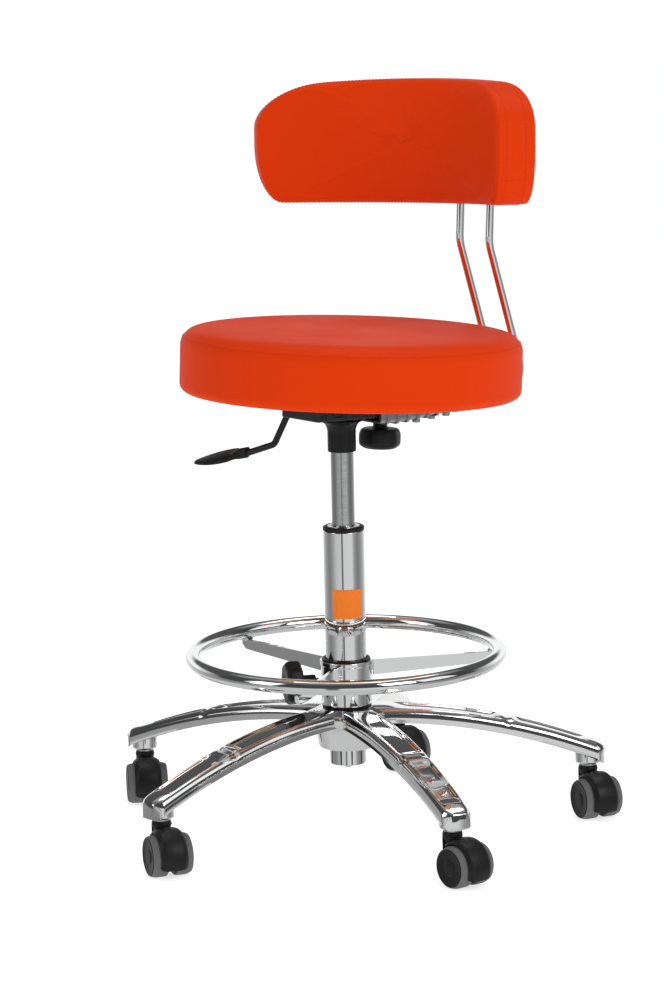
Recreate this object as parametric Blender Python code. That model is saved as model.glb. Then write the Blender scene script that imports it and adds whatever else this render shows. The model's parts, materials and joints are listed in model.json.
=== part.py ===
"""Drafting chair: five-arm base on twin casters, gas lift, foot ring, round seat and low backrest.

Metres, +Z up. The back of the chair is +Y and the sitter's right is -X. Everything is laid out
from the column's axis; the whole chair is then moved so that its box stands on the origin.
"""
import math

import bmesh
import bpy
from mathutils import Matrix, Vector

# ---- clearances -------------------------------------------------------------------------------
GAP = 0.0003            # between pieces that touch
RUNNING = 0.0005        # between a turning or sliding piece and what it runs in
SIDES = 32              # facets of a turned piece

# ---- five-arm base ----------------------------------------------------------------------------
ARM_COUNT = 5
ARM_FIRST_ANGLE = math.radians(55.7)
STEM_CIRCLE = 0.296     # column axis to caster stem
ARM_TIP = 0.021         # arm metal past the stem
ARM_WIDTH_HUB = 0.050
ARM_WIDTH_TIP = 0.037
ARM_TOP_HUB = 0.1495
ARM_TOP_TIP = 0.0870
ARM_BOTTOM_HUB = 0.1300
ARM_BOTTOM_TIP = 0.0650
ARM_ARCH = 2.0          # power of the drop along an arm
BOSS_RADIUS = 0.0155     # socket under each arm tip
BOSS_HEIGHT = 0.0160
ARM_STATIONS = 12
HUB_RADIUS = 0.0430
HUB_TOP_RADIUS = 0.0330
HUB_TOP = 0.1500
HUB_SKIRT = 0.0990

# ---- column -----------------------------------------------------------------------------------
COLUMN_RADIUS = 0.0250
COLUMN_FOOT_RADIUS = 0.0222
COLUMN_FOOT = 0.0780
COLUMN_TOP = 0.3670
COLUMN_WALL = 0.0020
COLUMN_FLOOR = 0.0040
CAP_HEIGHT = 0.0055
GUIDE_LENGTH = 0.080

# ---- gas lift ---------------------------------------------------------------------------------
GAS_RADIUS = 0.0140
GAS_WALL = 0.0025
GAS_BOTTOM = 0.1900
GAS_TOP = 0.5100
GAS_HEAD = 0.0200
PISTON_ROD_RADIUS = 0.0040
PISTON_HEIGHT = 0.3300
PISTON_THICKNESS = 0.0080
CLIP_RADIUS = 0.0090
CLIP_THICKNESS = 0.0020
BEARING_RADIUS = 0.0150
BEARING_HEIGHT = 0.0060
BUTTON_RADIUS = 0.0034
BUTTON_LENGTH = 0.0190
BUTTON_PROUD = 0.0043
SLEEVE_RADIUS = 0.0172
SLEEVE_BOTTOM = 0.4636
SLEEVE_SHOULDER = 0.4930
SLEEVE_TOP = 0.5020
SLEEVE_TOP_RADIUS = 0.0260

# ---- foot ring --------------------------------------------------------------------------------
RING_RADIUS = 0.1862
RING_TUBE_RADIUS = 0.0090
RING_HEIGHT = 0.2137
COLLAR_RADIUS = 0.0310
COLLAR_WALL = 0.0025
COLLAR_HEIGHT = 0.0590
BUSH_FLANGE = 0.0020
SPOKE_COUNT = 3
SPOKE_FIRST_ANGLE = math.radians(-58)
SPOKE_THICKNESS = 0.0050
SPOKE_DEPTH_INNER = 0.0190
SPOKE_DEPTH_OUTER = 0.0120
RING_KNOB_ANGLE = math.radians(242)
RING_KNOB_RADIUS = 0.0270
RING_KNOB_LENGTH = 0.0200
RING_KNOB_REACH = 0.0570    # column axis to the knob's inner face
RING_KNOB_HEIGHT = 0.1815
RING_SCREW_RADIUS = 0.0040

# ---- casters ----------------------------------------------------------------------------------
WHEEL_RADIUS = 0.0250
WHEEL_WIDTH = 0.0200
WHEEL_SIDES = 28
CASTER_TRAIL = 0.0220
CASTER_HEADINGS = (-16, -10, -33, -20, -2)      # degrees, one for each arm in turn
WEB_THICKNESS = 0.0080
WEB_BOSS = 0.0100
FENDER_HALF_WIDTH = 0.0160
FENDER_WALL = 0.0028
FENDER_CLEARANCE = 0.0012
FENDER_FROM = math.radians(-24)
FENDER_TO = math.radians(128)
AXLE_RADIUS = 0.0030
AXLE_LENGTH = 0.0420
STEM_RADIUS = 0.0052
STEM_LENGTH = 0.0200
STEM_COLLAR_RADIUS = 0.0110
STEM_COLLAR_HEIGHT = 0.0030
BARREL_RADIUS = 0.0120
BARREL_BOTTOM = 0.0300

# ---- seat and mechanism, laid out square to the tilted seat ------------------------------------
SEAT_TILT = math.radians(3.2)
TILT_HEIGHT = 0.5200    # where the tilted frame meets the column's axis
SEAT_RADIUS = 0.2070
SEAT_OFFSET = 0.0140    # seat centre behind the column's axis
SEAT_BOTTOM = 0.5330
SEAT_THICKNESS = 0.0770
SEAT_EDGE = 0.0150
BOARD_RADIUS = 0.1900
BOARD_THICKNESS = 0.0090
BOARD_SUNK = 0.0005
PLATE_SIZE = (0.170, 0.200, 0.0035)
HOUSING_SIZE = (0.068, 0.094, 0.0230)
HOUSING_BACK = 0.0295
HOUSING_WALL = 0.0035
HOUSING_FLOOR = 0.0050
HOUSING_HOLE = 0.0165

# ---- height lever -----------------------------------------------------------------------------
LEVER_ANGLE = math.radians(200)
LEVER_RADIUS = 0.0040
LEVER_HEIGHT = 0.5190
LEVER_FULCRUM = 0.0240
LEVER_PIN_RADIUS = 0.0020
LEVER_PIN_LENGTH = 0.0300
LEVER_PATH = ((-0.003, 0.5190), (0.066, 0.5190), (0.092, 0.4640), (0.138, 0.4470))
LEVER_BEND = 0.0100
PADDLE_REACH = (0.129, 0.204)
PADDLE_HEIGHTS = (0.4510, 0.4370)
PADDLE_WIDTH = 0.0260
PADDLE_THICKNESS = 0.0110

# ---- backrest carriage and rods -----------------------------------------------------------------
BRACKET_SIZE = (0.080, 0.132, 0.0295)
ROD_SPACING = 0.0540
ROD_RADIUS = 0.0050
ROD_LEVEL = 0.5160
ROD_FRONT = 0.0550
ROD_BEHIND = 0.2660     # rods' rearmost reach behind the column's axis
ROD_UPRIGHT = 0.2090    # where the rods stand under the pad
ROD_LEAN = math.radians(20.7)
ROD_LOWER_BEND = 0.0350
ROD_UPPER_BEND = 0.0500
ROD_INTO_PAD = 0.0450
BACK_KNOB_BACK = 0.0630
BACK_KNOB_RADIUS = 0.0255
BACK_KNOB_HEIGHT = 0.0250
BACK_KNOB_TOP = 0.4880
BACK_KNOB_STEM = 0.0085
BACK_SCREW_RADIUS = 0.0040

# ---- backrest -----------------------------------------------------------------------------------
PAD_CENTRE = (-0.0200, -0.0820)
PAD_RADIUS = 0.2880     # to the middle of the thickness
PAD_THICKNESS = 0.0510
PAD_FROM = math.radians(62)
PAD_TO = math.radians(147)
PAD_BOTTOM = 0.7560
PAD_HEIGHT = 0.1540
PAD_ROLL = math.radians(-3.0)
PAD_EDGE = 0.0055
PAD_CROWN = 0.0115       # how much lower the top edge is at the ends
PAD_TOP_CORNER = (0.0870, 0.0480)       # along the pad and down it
PAD_BOTTOM_CORNER = (0.0330, 0.0720)
SHELL_THICKNESS = 0.0110
PAD_STEPS = 22

# ---- label --------------------------------------------------------------------------------------
LABEL_SIZE = (0.0375, 0.036)
LABEL_HEIGHT = 0.2793
LABEL_THICKNESS = 0.0003
LABEL_FACES = math.radians(-33)

FINISHES = {
    "vinyl_orange": ((0.66, 0.06, 0.008), 0.42, 0.0),
    "aluminium_polished": ((0.80, 0.81, 0.82), 0.12, 1.0),
    "chrome": ((0.83, 0.84, 0.85), 0.06, 1.0),
    "steel_brushed": ((0.52, 0.53, 0.54), 0.30, 1.0),
    "plastic_black": ((0.018, 0.018, 0.019), 0.42, 0.0),
    "steel_dark": ((0.045, 0.048, 0.052), 0.38, 0.6),
    "casting_grey": ((0.30, 0.31, 0.32), 0.45, 0.8),
    "tread_grey": ((0.20, 0.20, 0.21), 0.60, 0.0),
    "plywood": ((0.55, 0.36, 0.18), 0.60, 0.0),
    "label_orange": ((0.85, 0.22, 0.02), 0.45, 0.0),
}


# ==== helpers ====================================================================================
def clear_scene():
    """Remove whatever the opened file holds."""
    for item in list(bpy.data.objects):
        bpy.data.objects.remove(item, do_unlink=True)


def finish(name):
    """The Principled material of that name, made on first use."""
    material = bpy.data.materials.get(name)
    if material is None:
        colour, roughness, metallic = FINISHES[name]
        material = bpy.data.materials.new(name)
        material.use_nodes = True
        shader = material.node_tree.nodes["Principled BSDF"]
        shader.inputs["Base Color"].default_value = (*colour, 1.0)
        shader.inputs["Roughness"].default_value = roughness
        shader.inputs["Metallic"].default_value = metallic
    return material


def place(name, mesh, finish_name, parent, location=(0, 0, 0), rotation=(0, 0, 0)):
    """Link a mesh into the scene as one named piece under its parent empty."""
    piece = bpy.data.objects.new(name, mesh)
    bpy.context.scene.collection.objects.link(piece)
    piece.parent = parent
    piece.location = location
    piece.rotation_euler = rotation
    if finish_name:
        mesh.materials.append(finish(finish_name))
    return piece


def empty(name, parent=None, location=(0, 0, 0), rotation=(0, 0, 0)):
    """An empty that carries the pieces of one moving group."""
    holder = bpy.data.objects.new(name, None)
    bpy.context.scene.collection.objects.link(holder)
    holder.parent = parent
    holder.location = location
    holder.rotation_euler = rotation
    return holder


def mesh_of(bm, name):
    """Turn a bmesh into a mesh with outward faces."""
    bmesh.ops.recalc_face_normals(bm, faces=bm.faces)
    mesh = bpy.data.meshes.new(name)
    bm.to_mesh(mesh)
    bm.free()
    return mesh


def skin(name, rings, closed_ends):
    """Join rings of equal point count into a surface; cap the ends or join the last to the first."""
    bm = bmesh.new()
    loops = [[bm.verts.new(point) for point in ring] for ring in rings]
    count = len(loops[0])
    pairs = list(zip(loops, loops[1:]))
    if not closed_ends:
        pairs.append((loops[-1], loops[0]))
    for one, two in pairs:
        for i in range(count):
            bm.faces.new((one[i], one[(i + 1) % count], two[(i + 1) % count], two[i]))
    if closed_ends:
        bm.faces.new(loops[0])
        bm.faces.new(loops[-1])
    return mesh_of(bm, name)


def turned(name, outline, sides=SIDES, turn=0.0):
    """Turn a closed outline of (radius, height) points about Z; points on the axis stay single."""
    bm = bmesh.new()
    rings = []
    for radius, height in outline:
        if radius == 0:
            rings.append([bm.verts.new((0, 0, height))])
            continue
        angles = [turn + 2 * math.pi * i / sides for i in range(sides)]
        rings.append([bm.verts.new((radius * math.cos(a), radius * math.sin(a), height)) for a in angles])
    for one, two in zip(rings, rings[1:] + rings[:1]):
        if len(one) == 1 and len(two) == 1:
            continue
        for i in range(sides):
            j = (i + 1) % sides
            corners = [one[i % len(one)], one[j % len(one)], two[j % len(two)], two[i % len(two)]]
            bm.faces.new(list(dict.fromkeys(corners)))
    return mesh_of(bm, name)


def box(name, low, high, edge=0.0):
    """A box between two corners, its edges bevelled."""
    bm = bmesh.new()
    bmesh.ops.create_cube(bm, size=1.0)
    size = [h - l for l, h in zip(low, high)]
    middle = [(h + l) / 2 for l, h in zip(low, high)]
    bmesh.ops.scale(bm, vec=size, verts=bm.verts)
    bmesh.ops.translate(bm, vec=middle, verts=bm.verts)
    if edge:
        bmesh.ops.bevel(bm, geom=bm.edges[:], offset=edge, segments=2, affect="EDGES", profile=0.5)
    return mesh_of(bm, name)


def rounded_path(corners, radius, steps=6):
    """Points of a planar path of (across, up) corners, each inner corner an arc of that radius."""
    radii = radius if isinstance(radius, (tuple, list)) else [radius] * (len(corners) - 2)
    points = [Vector(corners[0])]
    for before, corner, after, bend in zip(corners, corners[1:], corners[2:], radii):
        here = Vector(corner)
        into = (here - Vector(before)).normalized()
        out = (Vector(after) - here).normalized()
        turn = into.angle(out)
        reach = bend * math.tan(turn / 2)
        side = 1 if into.x * out.y - into.y * out.x > 0 else -1
        start = here - into * reach
        centre = start + Vector((-into.y, into.x)) * side * bend
        for i in range(steps + 1):
            spoke = Matrix.Rotation(side * turn * i / steps, 2) @ (start - centre)
            points.append(centre + spoke)
    points.append(Vector(corners[-1]))
    return points


def rod(name, points, radius, sides=12):
    """A round rod along a planar path of (across, up) points, with flat ends; across is local X."""
    rings = []
    for i, point in enumerate(points):
        before = points[max(i - 1, 0)]
        after = points[min(i + 1, len(points) - 1)]
        along = (after - before).normalized()
        normal = Vector((-along.y, along.x))
        ring = []
        for k in range(sides):
            angle = 2 * math.pi * (k + 0.5) / sides
            flat = point + normal * radius * math.cos(angle)
            ring.append((flat.x, radius * math.sin(angle), flat.y))
        rings.append(ring)
    return skin(name, rings, closed_ends=True)


def cut(piece, cutter_mesh, name, location=(0, 0, 0), rotation=(0, 0, 0), operation="DIFFERENCE"):
    """Cut a hidden tool out of a piece, or join it on; the tool moves with the piece's parent."""
    tool = place(name, cutter_mesh, None, piece.parent, location, rotation)
    tool.hide_render = True
    tool.display_type = "WIRE"
    modifier = piece.modifiers.new(name, "BOOLEAN")
    modifier.operation = operation
    modifier.object = tool
    modifier.solver = "EXACT"
    return tool


def apply_tools(piece):
    """Keep the result of a piece's cuts as its mesh and delete the tools."""
    bpy.context.view_layer.update()
    tools = [m.object for m in piece.modifiers if m.type == "BOOLEAN"]
    evaluated = piece.evaluated_get(bpy.context.evaluated_depsgraph_get())
    mesh = bpy.data.meshes.new_from_object(evaluated)
    piece.modifiers.clear()
    piece.data = mesh
    for tool in tools:
        bpy.data.objects.remove(tool, do_unlink=True)


def polar(radius, angle, height=0.0):
    """A point at that distance and angle from the column's axis."""
    return (radius * math.cos(angle), radius * math.sin(angle), height)


def arm_angle(index):
    """Direction of one base arm."""
    return ARM_FIRST_ANGLE + 2 * math.pi * index / ARM_COUNT


# ==== base =======================================================================================
def arm_section(share, reach):
    """One cross-section of an arm, an arched cap on straight sides, at that share of its length."""
    width = ARM_WIDTH_HUB + (ARM_WIDTH_TIP - ARM_WIDTH_HUB) * share
    drop = share ** ARM_ARCH
    top = ARM_TOP_HUB + (ARM_TOP_TIP - ARM_TOP_HUB) * drop
    bottom = ARM_BOTTOM_HUB + (ARM_BOTTOM_TIP - ARM_BOTTOM_HUB) * drop
    shoulder = top - (top - bottom) * 0.45
    half = width / 2
    ring = [(reach, -half, bottom), (reach, -half, shoulder)]
    for i in range(1, 8):
        angle = math.pi * i / 8
        ring.append((reach, -half * math.cos(angle), shoulder + (top - shoulder) * math.sin(angle)))
    ring += [(reach, half, shoulder), (reach, half, bottom)]
    return ring


def build_base(parent):
    """The cast star: a hub and five arched arms, bored for the column and the caster stems."""
    hub = turned("base_star", [
        (0, HUB_SKIRT), (HUB_RADIUS, HUB_SKIRT), (HUB_RADIUS, ARM_TOP_HUB - 0.020),
        (HUB_TOP_RADIUS + 0.004, ARM_TOP_HUB), (HUB_TOP_RADIUS, HUB_TOP), (0, HUB_TOP)])
    star = place("base_star", hub, "aluminium_polished", parent)
    start = HUB_RADIUS - 0.020
    end = STEM_CIRCLE + ARM_TIP
    for index in range(ARM_COUNT):
        rings = []
        for station in range(ARM_STATIONS + 1):
            share = station / ARM_STATIONS
            rings.append(arm_section(share, start + (end - start) * share))
        arm = skin("arm_tool", rings, closed_ends=True)
        cut(star, arm, "arm_tool", rotation=(0, 0, arm_angle(index)), operation="UNION")
        boss = turned("boss_tool", [(0, ARM_BOTTOM_TIP), (BOSS_RADIUS, ARM_BOTTOM_TIP),
                                    (BOSS_RADIUS, ARM_BOTTOM_TIP + BOSS_HEIGHT),
                                    (0, ARM_BOTTOM_TIP + BOSS_HEIGHT)], sides=28)
        cut(star, boss, "boss_tool", location=polar(STEM_CIRCLE, arm_angle(index)), operation="UNION")
    apply_tools(star)
    bore = COLUMN_RADIUS + GAP
    foot = COLUMN_FOOT_RADIUS + GAP
    cut(star, turned("bore_tool", [(0, HUB_SKIRT - 0.01), (foot, HUB_SKIRT - 0.01),
                                   (foot, HUB_SKIRT + 0.006), (bore, HUB_TOP - 0.012),
                                   (bore, HUB_TOP + 0.01), (0, HUB_TOP + 0.01)]), "bore_tool")
    for index in range(ARM_COUNT):
        hole = turned("socket_tool", [(0, ARM_BOTTOM_TIP - 0.01), (STEM_RADIUS + RUNNING, ARM_BOTTOM_TIP - 0.01),
                                      (STEM_RADIUS + RUNNING, ARM_BOTTOM_TIP + STEM_LENGTH + RUNNING),
                                      (0, ARM_BOTTOM_TIP + STEM_LENGTH + RUNNING)], sides=16)
        cut(star, hole, "socket_tool", location=polar(STEM_CIRCLE, arm_angle(index)))
    apply_tools(star)


def build_column(parent):
    """The chromed tube, pressed into the hub, with its cap and the guide for the gas lift."""
    inner = COLUMN_RADIUS - COLUMN_WALL
    foot_inner = COLUMN_FOOT_RADIUS - COLUMN_WALL
    hole = PISTON_ROD_RADIUS + RUNNING
    place("column_tube", turned("column_tube", [
        (hole, COLUMN_FOOT), (COLUMN_FOOT_RADIUS, COLUMN_FOOT), (COLUMN_FOOT_RADIUS, HUB_SKIRT + 0.006),
        (COLUMN_RADIUS, HUB_TOP - 0.012), (COLUMN_RADIUS, COLUMN_TOP), (inner, COLUMN_TOP),
        (inner, HUB_TOP - 0.012), (foot_inner, HUB_SKIRT + 0.006),
        (foot_inner, COLUMN_FOOT + COLUMN_FLOOR), (hole, COLUMN_FOOT + COLUMN_FLOOR)]), "chrome", parent)
    bore = GAS_RADIUS + RUNNING
    plug = inner - GAP
    base = COLUMN_TOP + GAP
    place("column_cap", turned("column_cap", [
        (bore, base), (COLUMN_RADIUS, base), (COLUMN_RADIUS, base + CAP_HEIGHT - 0.003),
        (COLUMN_RADIUS - 0.003, base + CAP_HEIGHT), (bore, base + CAP_HEIGHT)]), "plastic_black", parent)
    place("column_guide", turned("column_guide", [
        (bore, COLUMN_TOP - GUIDE_LENGTH), (plug, COLUMN_TOP - GUIDE_LENGTH), (plug, COLUMN_TOP),
        (bore, COLUMN_TOP)]), "plastic_black", parent)


def build_label(parent):
    """A plain printed label, wrapped round the front of the column."""
    inner = COLUMN_RADIUS + GAP
    outer = inner + LABEL_THICKNESS
    half = LABEL_SIZE[0] / 2 / COLUMN_RADIUS
    low = LABEL_HEIGHT - LABEL_SIZE[1] / 2
    high = LABEL_HEIGHT + LABEL_SIZE[1] / 2
    rings = []
    for i in range(9):
        angle = LABEL_FACES + half * (2 * i / 8 - 1)
        rings.append([polar(inner, angle, low), polar(outer, angle, low),
                      polar(outer, angle, high), polar(inner, angle, high)])
    place("column_label", skin("column_label", rings, closed_ends=True), "label_orange", parent)


# ==== casters ====================================================================================
def fender_outline():
    """Side view of the hood: an arc of even wall over the wheels, as (back, up) points."""
    inner = WHEEL_RADIUS + FENDER_CLEARANCE
    outer = inner + FENDER_WALL
    steps = 10
    angles = [FENDER_FROM + (FENDER_TO - FENDER_FROM) * i / steps for i in range(steps + 1)]
    points = [(outer * math.cos(a), outer * math.sin(a)) for a in angles]
    points += [(inner * math.cos(a), inner * math.sin(a)) for a in reversed(angles)]
    return points


def web_outline():
    """Side view of the web between the wheels: a sector under the hood and a boss for the axle."""
    reach = WHEEL_RADIUS + FENDER_CLEARANCE + FENDER_WALL / 2
    steps = 8
    over = [FENDER_FROM + (FENDER_TO - FENDER_FROM) * i / steps for i in range(1, steps)]
    under = [FENDER_TO + (2 * math.pi + FENDER_FROM - FENDER_TO) * i / steps for i in range(steps + 1)]
    points = [(reach * math.cos(a), reach * math.sin(a)) for a in over]
    return points + [(WEB_BOSS * math.cos(a), WEB_BOSS * math.sin(a)) for a in under]


def slab(name, outline, half):
    """An outline of (back, up) points given a thickness across, along local Y."""
    rings = [[(x, side * half, z) for x, z in outline] for side in (-1, 1)]
    return skin(name, rings, closed_ends=True)


def build_caster(index, parent):
    """One twin-wheel caster: stem, hood, axle and two wheels."""
    swivel = empty(f"caster_{index}_swivel", parent, polar(STEM_CIRCLE, arm_angle(index - 1)),
                   (0, 0, math.radians(CASTER_HEADINGS[index - 1])))
    axle_height = WHEEL_RADIUS * math.cos(math.pi / WHEEL_SIDES)
    lying = (math.pi / 2, 0, 0)
    collar = ARM_BOTTOM_TIP - GAP
    barrel_top = collar - STEM_COLLAR_HEIGHT
    place(f"caster_{index}_stem", turned("stem", [
        (0, barrel_top - 0.012), (STEM_RADIUS, barrel_top - 0.012), (STEM_RADIUS, barrel_top + GAP),
        (STEM_COLLAR_RADIUS, barrel_top + GAP), (STEM_COLLAR_RADIUS, collar), (STEM_RADIUS, collar),
        (STEM_RADIUS, ARM_BOTTOM_TIP + STEM_LENGTH), (0, ARM_BOTTOM_TIP + STEM_LENGTH)], sides=16),
        "steel_brushed", swivel)

    barrel = turned("hood", [(0, BARREL_BOTTOM), (BARREL_RADIUS, BARREL_BOTTOM),
                             (BARREL_RADIUS, barrel_top), (0, barrel_top)], sides=16)
    hood = place(f"caster_{index}_hood", barrel, "plastic_black", swivel)
    wheel_space = WHEEL_RADIUS + FENDER_CLEARANCE + FENDER_WALL / 4
    web_side = WEB_THICKNESS / 2 * 0.95
    for side in (-1, 1):
        near, far = sorted((side * web_side, side * 0.040))
        space = turned("space_tool", [(0, near), (wheel_space, near), (wheel_space, far), (0, far)],
                       sides=WHEEL_SIDES)
        cut(hood, space, "space_tool", (CASTER_TRAIL, 0, axle_height), lying)
    centre = Vector((CASTER_TRAIL, axle_height))
    for tool, outline, half in (("web_tool", web_outline(), WEB_THICKNESS / 2),
                                ("fender_tool", fender_outline(), FENDER_HALF_WIDTH)):
        shifted = [tuple(Vector(point) + centre) for point in outline]
        cut(hood, slab(tool, shifted, half), tool, operation="UNION")
    bore = turned("axle_tool", [(0, -0.03), (AXLE_RADIUS + RUNNING, -0.03), (AXLE_RADIUS + RUNNING, 0.03), (0, 0.03)],
                  sides=16)
    cut(hood, bore, "axle_tool", (CASTER_TRAIL, 0, axle_height), lying)
    stem_bore = turned("stem_tool", [(0, barrel_top - 0.0125), (STEM_RADIUS + GAP, barrel_top - 0.0125),
                                     (STEM_RADIUS + GAP, 0.08), (0, 0.08)], sides=16)
    cut(hood, stem_bore, "stem_tool")
    apply_tools(hood)

    axle = empty(f"caster_{index}_axle_line", swivel, (CASTER_TRAIL, 0, axle_height))
    place(f"caster_{index}_axle", turned("axle", [
        (0, -AXLE_LENGTH / 2), (AXLE_RADIUS, -AXLE_LENGTH / 2), (AXLE_RADIUS, AXLE_LENGTH / 2),
        (0, AXLE_LENGTH / 2)], sides=16), "steel_brushed", axle, rotation=lying)
    inside = WEB_THICKNESS / 2 + 0.0006
    outside = inside + WHEEL_WIDTH
    hole = AXLE_RADIUS + RUNNING
    depth = AXLE_LENGTH / 2 + 0.0005
    shoulder = 0.0040
    for side, word in ((1, "left"), (-1, "right")):
        outline = [(hole, inside), (WHEEL_RADIUS - 0.0015, inside), (WHEEL_RADIUS, inside + 0.0015),
                   (WHEEL_RADIUS, outside - shoulder), (WHEEL_RADIUS - shoulder, outside),
                   (0, outside), (0, depth), (hole, depth)]
        # half a facet of turn puts a flat facet on the floor
        wheel = turned("wheel", outline, sides=WHEEL_SIDES, turn=math.pi / WHEEL_SIDES)
        place(f"caster_{index}_wheel_{word}", wheel, "tread_grey", axle, rotation=(side * -math.pi / 2, 0, 0))


# ==== gas lift ===================================================================================
def build_gas_lift(parent):
    """Piston rod on its bearing and clip, and the cylinder with its release button and sleeve."""
    clip_top = COLUMN_FOOT - GAP
    hole = PISTON_ROD_RADIUS + RUNNING
    bearing_bottom = COLUMN_FOOT + COLUMN_FLOOR + GAP
    bearing_top = bearing_bottom + BEARING_HEIGHT
    groove = clip_top - CLIP_THICKNESS
    bore = GAS_RADIUS - GAS_WALL
    piston_rod = [
        (0, groove - 0.003), (PISTON_ROD_RADIUS, groove - 0.003), (PISTON_ROD_RADIUS, bearing_top + GAP),
        (PISTON_ROD_RADIUS + 0.003, bearing_top + GAP), (PISTON_ROD_RADIUS + 0.003, bearing_top + 0.003),
        (PISTON_ROD_RADIUS, bearing_top + 0.003), (PISTON_ROD_RADIUS, PISTON_HEIGHT),
        (bore - RUNNING, PISTON_HEIGHT), (bore - RUNNING, PISTON_HEIGHT + PISTON_THICKNESS),
        (0, PISTON_HEIGHT + PISTON_THICKNESS)]
    place("gas_piston_rod", turned("gas_piston_rod", piston_rod), "steel_brushed", parent)
    place("gas_clip", turned("gas_clip", [
        (PISTON_ROD_RADIUS + GAP, groove), (CLIP_RADIUS, groove), (CLIP_RADIUS, clip_top),
        (PISTON_ROD_RADIUS + GAP, clip_top)]), "steel_dark", parent)
    place("thrust_bearing", turned("thrust_bearing", [
        (hole, bearing_bottom), (BEARING_RADIUS, bearing_bottom), (BEARING_RADIUS, bearing_top),
        (hole, bearing_top)]), "steel_brushed", parent)
    button_hole = BUTTON_RADIUS + GAP
    head = GAS_TOP - GAS_HEAD
    place("gas_cylinder", turned("gas_cylinder", [
        (hole, GAS_BOTTOM), (GAS_RADIUS - 0.001, GAS_BOTTOM), (GAS_RADIUS, GAS_BOTTOM + 0.001),
        (GAS_RADIUS, SLEEVE_SHOULDER), (GAS_RADIUS - 0.0008, GAS_TOP), (button_hole, GAS_TOP),
        (button_hole, head), (bore, head), (bore, GAS_BOTTOM + 0.005),
        (hole, GAS_BOTTOM + 0.005)]), "steel_brushed", parent)
    button_top = GAS_TOP + BUTTON_PROUD
    place("release_button", turned("release_button", [
        (0, button_top - BUTTON_LENGTH), (BUTTON_RADIUS, button_top - BUTTON_LENGTH),
        (BUTTON_RADIUS, button_top), (0, button_top)], sides=20), "steel_dark", parent)
    inner = GAS_RADIUS + GAP
    place("taper_sleeve", turned("taper_sleeve", [
        (inner, SLEEVE_BOTTOM), (SLEEVE_RADIUS, SLEEVE_BOTTOM), (SLEEVE_RADIUS, SLEEVE_SHOULDER),
        (SLEEVE_RADIUS + 0.0025, SLEEVE_SHOULDER + 0.0050), (SLEEVE_TOP_RADIUS, SLEEVE_TOP - 0.0010),
        (SLEEVE_TOP_RADIUS, SLEEVE_TOP), (inner, SLEEVE_TOP)]), "plastic_black", parent)


# ==== foot ring ==================================================================================
def build_foot_ring(parent):
    """Ring, three spokes and clamping collar on a plastic bush that slides on the column."""
    bottom = HUB_TOP + GAP
    top = bottom + COLLAR_HEIGHT
    bush_in = COLUMN_RADIUS + GAP + LABEL_THICKNESS + RUNNING   # it slides over the label
    bush_out = COLLAR_RADIUS - COLLAR_WALL - GAP
    flange = COLLAR_RADIUS - 0.001
    place("foot_ring_bush", turned("foot_ring_bush", [
        (bush_in, bottom), (flange, bottom), (flange, bottom + BUSH_FLANGE), (bush_out, bottom + BUSH_FLANGE),
        (bush_out, top - BUSH_FLANGE), (flange, top - BUSH_FLANGE), (flange, top), (bush_in, top)]),
        "plastic_black", parent)
    low = bottom + BUSH_FLANGE + GAP
    high = top - BUSH_FLANGE - GAP
    collar = place("foot_ring_collar", turned("foot_ring_collar", [
        (bush_out + GAP, low), (COLLAR_RADIUS, low), (COLLAR_RADIUS, high), (bush_out + GAP, high)]),
        "chrome", parent)
    screw_hole = turned("screw_tool", [(0, 0.020), (RING_SCREW_RADIUS + GAP, 0.020),
                                       (RING_SCREW_RADIUS + GAP, 0.060), (0, 0.060)], sides=16)
    cut(collar, screw_hole, "screw_tool", (0, 0, RING_KNOB_HEIGHT), (0, math.pi / 2, RING_KNOB_ANGLE))
    apply_tools(collar)
    ring_sides = 12
    ring_steps = 60
    rings = []
    for i in range(ring_steps):
        angle = 2 * math.pi * i / ring_steps
        ring = []
        for k in range(ring_sides):
            turn = 2 * math.pi * k / ring_sides
            ring.append(polar(RING_RADIUS + RING_TUBE_RADIUS * math.cos(turn), angle,
                              RING_HEIGHT + RING_TUBE_RADIUS * math.sin(turn)))
        rings.append(ring)
    place("foot_ring_tube", skin("foot_ring_tube", rings, closed_ends=False), "chrome", parent)
    spoke_top = RING_HEIGHT - RING_TUBE_RADIUS - GAP
    start = COLLAR_RADIUS + GAP
    end = RING_RADIUS + RING_TUBE_RADIUS / 2
    for index in range(SPOKE_COUNT):
        outline = [(start, spoke_top), (end, spoke_top), (end, spoke_top - SPOKE_DEPTH_OUTER * 0.55),
                   (end - 0.008, spoke_top - SPOKE_DEPTH_OUTER), (start, spoke_top - SPOKE_DEPTH_INNER)]
        place(f"foot_ring_spoke_{index + 1}", slab("spoke", outline, SPOKE_THICKNESS / 2), "chrome", parent,
              rotation=(0, 0, SPOKE_FIRST_ANGLE + 2 * math.pi * index / SPOKE_COUNT))
    reach = RING_KNOB_REACH
    neck = RING_SCREW_RADIUS + 0.0045
    place("foot_ring_knob", turned("foot_ring_knob", [
        (0, bush_out + GAP + 0.0003), (RING_SCREW_RADIUS, bush_out + GAP + 0.0003),
        (RING_SCREW_RADIUS, COLLAR_RADIUS + 0.008), (neck, COLLAR_RADIUS + 0.008), (neck, reach),
        (RING_KNOB_RADIUS - 0.003, reach), (RING_KNOB_RADIUS, reach + 0.003),
        (RING_KNOB_RADIUS, reach + RING_KNOB_LENGTH - 0.004),
        (RING_KNOB_RADIUS - 0.004, reach + RING_KNOB_LENGTH), (0, reach + RING_KNOB_LENGTH)], sides=28),
        "plastic_black", parent, (0, 0, RING_KNOB_HEIGHT), (0, math.pi / 2, RING_KNOB_ANGLE))


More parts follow.
